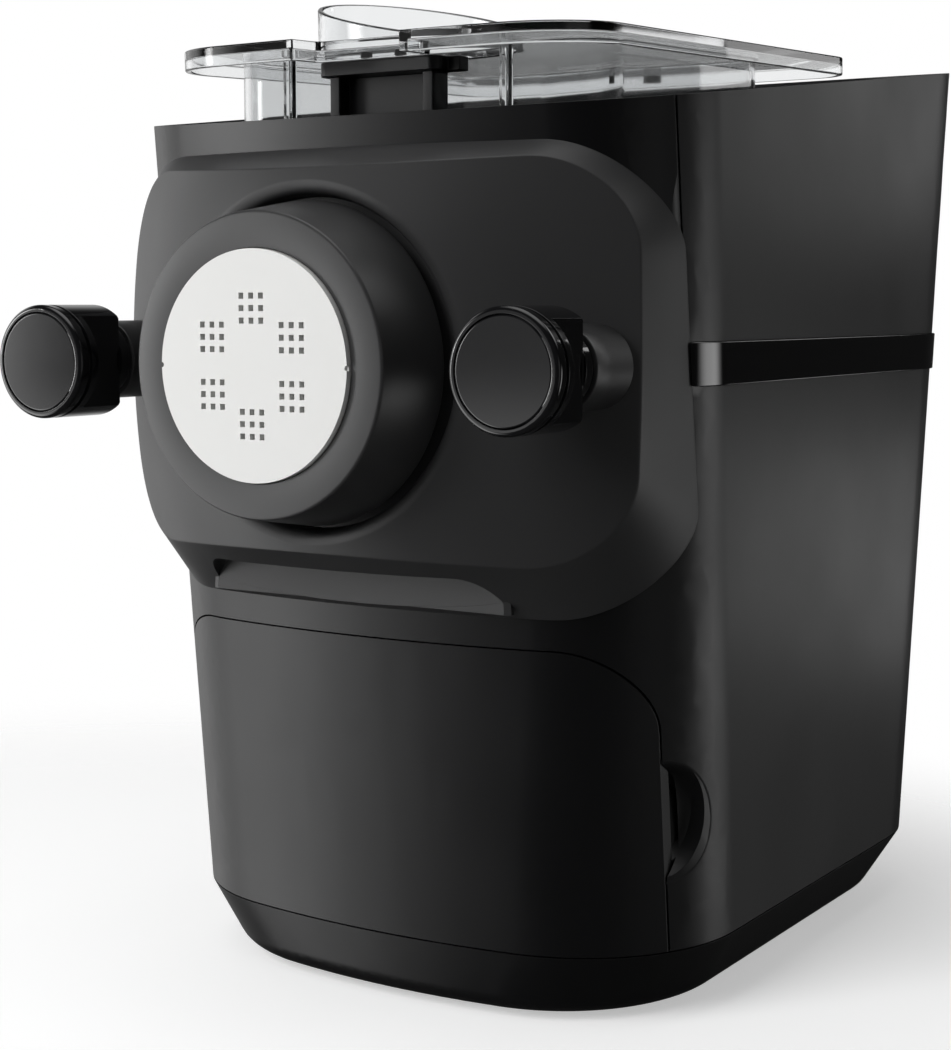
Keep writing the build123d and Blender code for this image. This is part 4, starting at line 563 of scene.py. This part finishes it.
# ---------------------------------------------------------------- locking knobs
# Two gloss black knobs turn the stems that lock the front panel. Each has a
# flat inset face, a rounded rim, a groove behind it and two grip flats.
knob_offset, stem_hole = 98.7 * mm, 8.2 * mm
boss_radius, boss_front, boss_back = 14.6 * mm, 35.6 * mm, 60 * mm
boss_profile = rounded_path(
    [(stem_hole, boss_back), (stem_hole, boss_front), (boss_radius, boss_front), (boss_radius, boss_back)],
    [0.3 * mm, 0.6 * mm])
for side, hand in ((-1, "left"), (1, "right")):
    knob = f"{hand}_knob"
    moulding(knob, f"{knob}_moulding", gloss_black, knob, edge=0.5 * mm, steps=3)
    moulding(f"{knob}_cap", f"{knob}_face", gloss_black, knob, edge=0.4 * mm, steps=3)
    moulding(f"{knob}_stem", f"{knob}_stem_rod", gloss_black, knob, edge=0.4 * mm)
    boss = add_piece(f"{knob}_boss", turned(f"{knob}_boss", boss_profile, x=side * knob_offset))
    settle(boss, matte_nut, "front_panel")

# ---------------------------------------------------------------- mixing chamber and its handle
# The chamber is a clear copolyester tub. The black grip at its front edge is a
# plate on two legs, with locating pins and a small catch.


def clear_plastic(name, colour):
    """Clear moulded plastic with a slight tint."""
    return new_material(name, colour, Roughness=0.03, IOR=1.5, Transmission_Weight=1.0)[0]


clear_tub = clear_plastic("clear copolyester", (0.79, 0.8, 0.805))
moulding("mixing_chamber", "mixing_chamber_tub", clear_tub, "machine", edge=0.5 * mm)
moulding("chamber_handle", "chamber_handle_grip", satin_black, "machine", edge=0.5 * mm)

# ---------------------------------------------------------------- lid
# The clear lid lies on the chamber: a plate with a deep rim, a notch for the
# grip, and an oval pour inlet whose wall falls to the right.
clear_lid = clear_plastic("clear lid resin", (0.91, 0.92, 0.925))
moulding("lid", "lid_moulding", clear_lid, "lid", edge=0.8 * mm, steps=3)
ferrite = plastic("ferrite", (0.03, 0.03, 0.03), (0.05, 0.048, 0.045), 0.55, 0.1, 0.5 * mm, 0.01 * mm)
carry(ferrite, "lid_magnet", "motor_magnets")

# ---------------------------------------------------------------- top deck and controls
# The deck closes the body just under its rim. A dark glass strip behind the
# lid carries the round press buttons.
control_glass = plastic("control glass", (0.003, 0.003, 0.0035), (0.004, 0.004, 0.0045), 0.05, 0.02, 2 * mm,
                        0.0003 * mm, Coat_Weight=0.5)
circuit_green = plastic("circuit board", (0.02, 0.12, 0.05), (0.03, 0.16, 0.07), 0.4, 0.1, 1 * mm, 0.01 * mm,
                        patch=6 * mm)
moulding("top_deck", "top_deck_moulding", satin_black, "machine", edge=0.4 * mm)
moulding("control_glass", "control_glass_strip", control_glass, "machine", edge=0.2 * mm)
for button in ("minus_button", "power_button", "start_button", "plus_button"):
    moulding(button, f"{button}_cap", gloss_black, button, edge=0.3 * mm, steps=3)
carry(circuit_green, "control_board", "power_board")

# ---------------------------------------------------------------- gearbox and drive
# Steel gears turn the paddle and the screw slowly. They sit in a cast aluminium
# box with a screwed cover, and the drive shaft runs in bronze bushes.
gear_steel = metal("gear steel", (0.55, 0.55, 0.57), (0.4, 0.4, 0.4), 0.3, 0.08, 0.3 * mm, 0.004 * mm)
cast_alloy = metal("cast aluminium", (0.6, 0.61, 0.63), (0.48, 0.49, 0.5), 0.5, 0.08, 1.2 * mm, 0.03 * mm)
bush_bronze = metal("sintered bronze", (0.6, 0.42, 0.2), (0.45, 0.3, 0.14), 0.45, 0.1, 0.5 * mm, 0.01 * mm)
carry(gear_steel, "output_gear", "idler_gear", "idler_pin", "motor_pinion", "drive_shaft")
carry(cast_alloy, "gearbox_housing", "gearbox_cover")
carry(bush_bronze, "output_bushes", "motor_bushes")

# ---------------------------------------------------------------- motor
# A plain permanent-magnet motor in a drawn steel can with a plastic end cap.
# Its pinion sits on the rotor's shaft.
drawn_steel = metal("drawn steel", (0.5, 0.5, 0.52), (0.42, 0.42, 0.43), 0.35, 0.08, 0.6 * mm, 0.003 * mm)
carry(drawn_steel, "motor_can", "rotor")

# ---------------------------------------------------------------- studio
# A pale floor that fades into a white surround, soft lamps for the light, and
# bright strips in the surround that only glossy surfaces show.
floor_reach, floor_glow, floor_unseen = 4.0, 0.45, 0.95
fade_centre, fade_start, fade_end = (-0.1, -0.2, 0), 0.34, 0.62
floor_mesh = bpy.data.meshes.new("studio_floor")
floor_corners = [(x * floor_reach, y * floor_reach, 0) for x, y in ((-1, -1), (1, -1), (1, 1), (-1, 1))]
floor_mesh.from_pydata(floor_corners, [], [(0, 1, 2, 3)])
floor = add_piece("studio_floor", floor_mesh)
floor_paint, floor_tree, floor_shader = new_material("floor paint", (0.7, 0.7, 0.7), Roughness=0.8)
floor_shader.inputs["Emission Color"].default_value = (1, 1, 1, 1)
seen = shader_node(floor_tree, "ShaderNodeLightPath")
direct = shader_node(floor_tree, "ShaderNodeMath", operation="MAXIMUM")
glow = shader_node(floor_tree, "ShaderNodeMath", {1: floor_glow}, operation="MULTIPLY")
place = shader_node(floor_tree, "ShaderNodeTexCoord")
distance = shader_node(floor_tree, "ShaderNodeVectorMath", {1: fade_centre}, operation="DISTANCE")
fade = shader_node(floor_tree, "ShaderNodeMapRange", {"From Min": fade_start, "From Max": fade_end},
                   interpolation_type="SMOOTHSTEP")
mirrored = shader_node(floor_tree, "ShaderNodeMath", {1: floor_unseen}, operation="MULTIPLY")
gone = shader_node(floor_tree, "ShaderNodeMath", operation="MAXIMUM")
clear = shader_node(floor_tree, "ShaderNodeBsdfTransparent")
surface = shader_node(floor_tree, "ShaderNodeMixShader")
floor_tree.links.new(seen.outputs["Is Camera Ray"], direct.inputs[0])
floor_tree.links.new(seen.outputs["Is Transmission Ray"], direct.inputs[1])
floor_tree.links.new(direct.outputs[0], glow.inputs[0])
floor_tree.links.new(glow.outputs[0], floor_shader.inputs["Emission Strength"])
floor_tree.links.new(place.outputs["Object"], distance.inputs[0])
floor_tree.links.new(distance.outputs["Value"], fade.inputs["Value"])
floor_tree.links.new(seen.outputs["Is Glossy Ray"], mirrored.inputs[0])
floor_tree.links.new(fade.outputs["Result"], gone.inputs[0])
floor_tree.links.new(mirrored.outputs[0], gone.inputs[1])
floor_tree.links.new(gone.outputs[0], surface.inputs["Fac"])
floor_tree.links.new(floor_shader.outputs[0], surface.inputs[1])
floor_tree.links.new(clear.outputs[0], surface.inputs[2])
floor_tree.links.new(surface.outputs[0], floor_tree.nodes["Material Output"].inputs["Surface"])
floor_mesh.materials.append(floor_paint)

world = bpy.data.worlds.new("studio surround")
bpy.context.scene.world = world
world.use_nodes = True
sky = world.node_tree
gloss_base, diffuse_level, camera_level = 0.02, 0.1, 1.0
surround = sky.nodes["Background"]
surround.inputs["Color"].default_value = (1, 1, 1, 1)
path = shader_node(sky, "ShaderNodeLightPath")
aim = shader_node(sky, "ShaderNodeTexCoord")
part = shader_node(sky, "ShaderNodeSeparateXYZ")
front = shader_node(sky, "ShaderNodeMath", {1: -1.0}, operation="MULTIPLY")
turn = shader_node(sky, "ShaderNodeMath", operation="ARCTAN2")
rise = shader_node(sky, "ShaderNodeMath", operation="ARCSINE")
sky.links.new(aim.outputs["Generated"], part.inputs[0])
sky.links.new(part.outputs["Y"], front.inputs[0])
sky.links.new(part.outputs["X"], turn.inputs[0])
sky.links.new(front.outputs[0], turn.inputs[1])
sky.links.new(part.outputs["Z"], rise.inputs[0])


def sky_window(source, low, high, soft):
    """A soft window in the surround between two angles in degrees."""
    opening, closing = (
        shader_node(sky, "ShaderNodeMapRange", {
            "From Min": radians(edge - soft), "From Max": radians(edge + soft), "To Min": outer,
            "To Max": 1.0 - outer}, interpolation_type="SMOOTHSTEP")
        for edge, outer in ((low, 0.0), (high, 1.0)))
    both = shader_node(sky, "ShaderNodeMath", operation="MULTIPLY")
    for edge, socket in ((opening, 0), (closing, 1)):
        sky.links.new(source.outputs[0], edge.inputs["Value"])
        sky.links.new(edge.outputs["Result"], both.inputs[socket])
    return both


def sky_strip(before, level, left, right, low, high, soft, rise_soft):
    """Add a bright soft strip to the surround; angles in degrees, turned from the front to the right."""
    across, up = sky_window(turn, left, right, soft), sky_window(rise, low, high, rise_soft)
    area = shader_node(sky, "ShaderNodeMath", operation="MULTIPLY")
    total = shader_node(sky, "ShaderNodeMath", {1: level}, operation="MULTIPLY_ADD")
    sky.links.new(across.outputs[0], area.inputs[0])
    sky.links.new(up.outputs[0], area.inputs[1])
    sky.links.new(area.outputs[0], total.inputs[0])
    if before:
        sky.links.new(before.outputs[0], total.inputs[2])
    else:
        total.inputs[2].default_value = gloss_base
    return total


# Level, then left, right, low and high edge, and softness across and up, all in degrees.
strips = None
for strip in (
    (12.5, -59, -48, -4, 14, 5, 6),
    (3.2, -68, -42, -40, -8, 12, 6),
    (1.3, -112, -72, -25, 32, 10, 10),
    (0.25, 62, 92, -20, 15, 6, 8),
    (0.35, -44, -18, -8, 20, 8, 6),
    (0.9, -58, -24, -14, -3, 8, 1.5),
    (2.6, 122, 140, -22, 2, 6, 6),
    (2.2, 128, 165, 30, 50, 10, 8),
    (0.5, -150, -112, -25, 30, 10, 10),
    (1.5, -179, 180, 62, 95, 6, 10),
):
    strips = sky_strip(strips, *strip)
# Clear plastic shows the surround brightest in this direction.
bright_way = (-0.53, 0.84, -0.1)
facing = shader_node(sky, "ShaderNodeVectorMath", {1: bright_way}, operation="DOT_PRODUCT")
window = shader_node(sky, "ShaderNodeMapRange", {
    "From Min": 0.2, "From Max": 0.85, "To Min": 0.12, "To Max": 1.0})
for_gloss = shader_node(sky, "ShaderNodeMix", {"A": diffuse_level}, data_type="FLOAT")
for_glass = shader_node(sky, "ShaderNodeMix", data_type="FLOAT")
for_camera = shader_node(sky, "ShaderNodeMix", {"B": camera_level}, data_type="FLOAT")
sky.links.new(strips.outputs[0], for_gloss.inputs["B"])
sky.links.new(aim.outputs["Generated"], facing.inputs[0])
sky.links.new(facing.outputs["Value"], window.inputs["Value"])
sky.links.new(path.outputs["Is Glossy Ray"], for_gloss.inputs["Factor"])
sky.links.new(path.outputs["Is Transmission Ray"], for_glass.inputs["Factor"])
sky.links.new(for_gloss.outputs["Result"], for_glass.inputs["A"])
sky.links.new(window.outputs["Result"], for_glass.inputs["B"])
sky.links.new(path.outputs["Is Camera Ray"], for_camera.inputs["Factor"])
sky.links.new(for_glass.outputs["Result"], for_camera.inputs["A"])
sky.links.new(for_camera.outputs["Result"], surround.inputs["Strength"])

bpy.context.scene.view_settings.view_transform = "Standard"


def softbox(name, place, aimed_at, width, tall, power, glossy=False):
    """A soft lamp for either plain or glossy reflection, not seen directly or through clear plastic."""
    lamp = bpy.data.lights.new(name, "AREA")
    lamp.shape = "RECTANGLE"
    lamp.size, lamp.size_y = width, tall
    lamp.energy = power
    holder = bpy.data.objects.new(name, lamp)
    bpy.context.scene.collection.objects.link(holder)
    holder.location = place
    holder.rotation_euler = (aimed_at - place).to_track_quat("-Z", "Y").to_euler()
    holder.visible_camera = holder.visible_transmission = False
    holder.visible_glossy, holder.visible_diffuse = glossy, not glossy


def about(turn, distance, height):
    """A place round the machine, turned from the front to the right in degrees."""
    return Vector((distance * sin(radians(turn)), -distance * cos(radians(turn)), height))


middle, right_side = Vector((0, 0, 0.2)), Vector((0.12, 0.08, 0.2))
main_place, upper_place = about(-14, distance=2.0, height=1.3), about(-20, distance=0.5, height=2.2)
softbox("main softbox", main_place, middle, width=1.2, tall=1.4, power=46)
softbox("upper softbox", upper_place, middle, width=1.4, tall=1.4, power=12)
for level, tall, power in ((0.45, 0.3, 0.17), (0.085, 0.15, 0.085)):
    softbox("rear softbox", Vector((0.335, 0.6, level)), right_side, 0.1, tall, power, glossy=True)

camera_data = bpy.data.cameras.new("camera")
camera_data.lens = 69.47
camera_data.sensor_width = 36
camera = bpy.data.objects.new("camera", camera_data)
bpy.context.scene.collection.objects.link(camera)
camera.location = (0.4296, disc_front - 0.5374, axis_height + 0.02176)
camera.rotation_euler = (radians(83.705), 0, radians(32.345))
bpy.context.scene.camera = camera
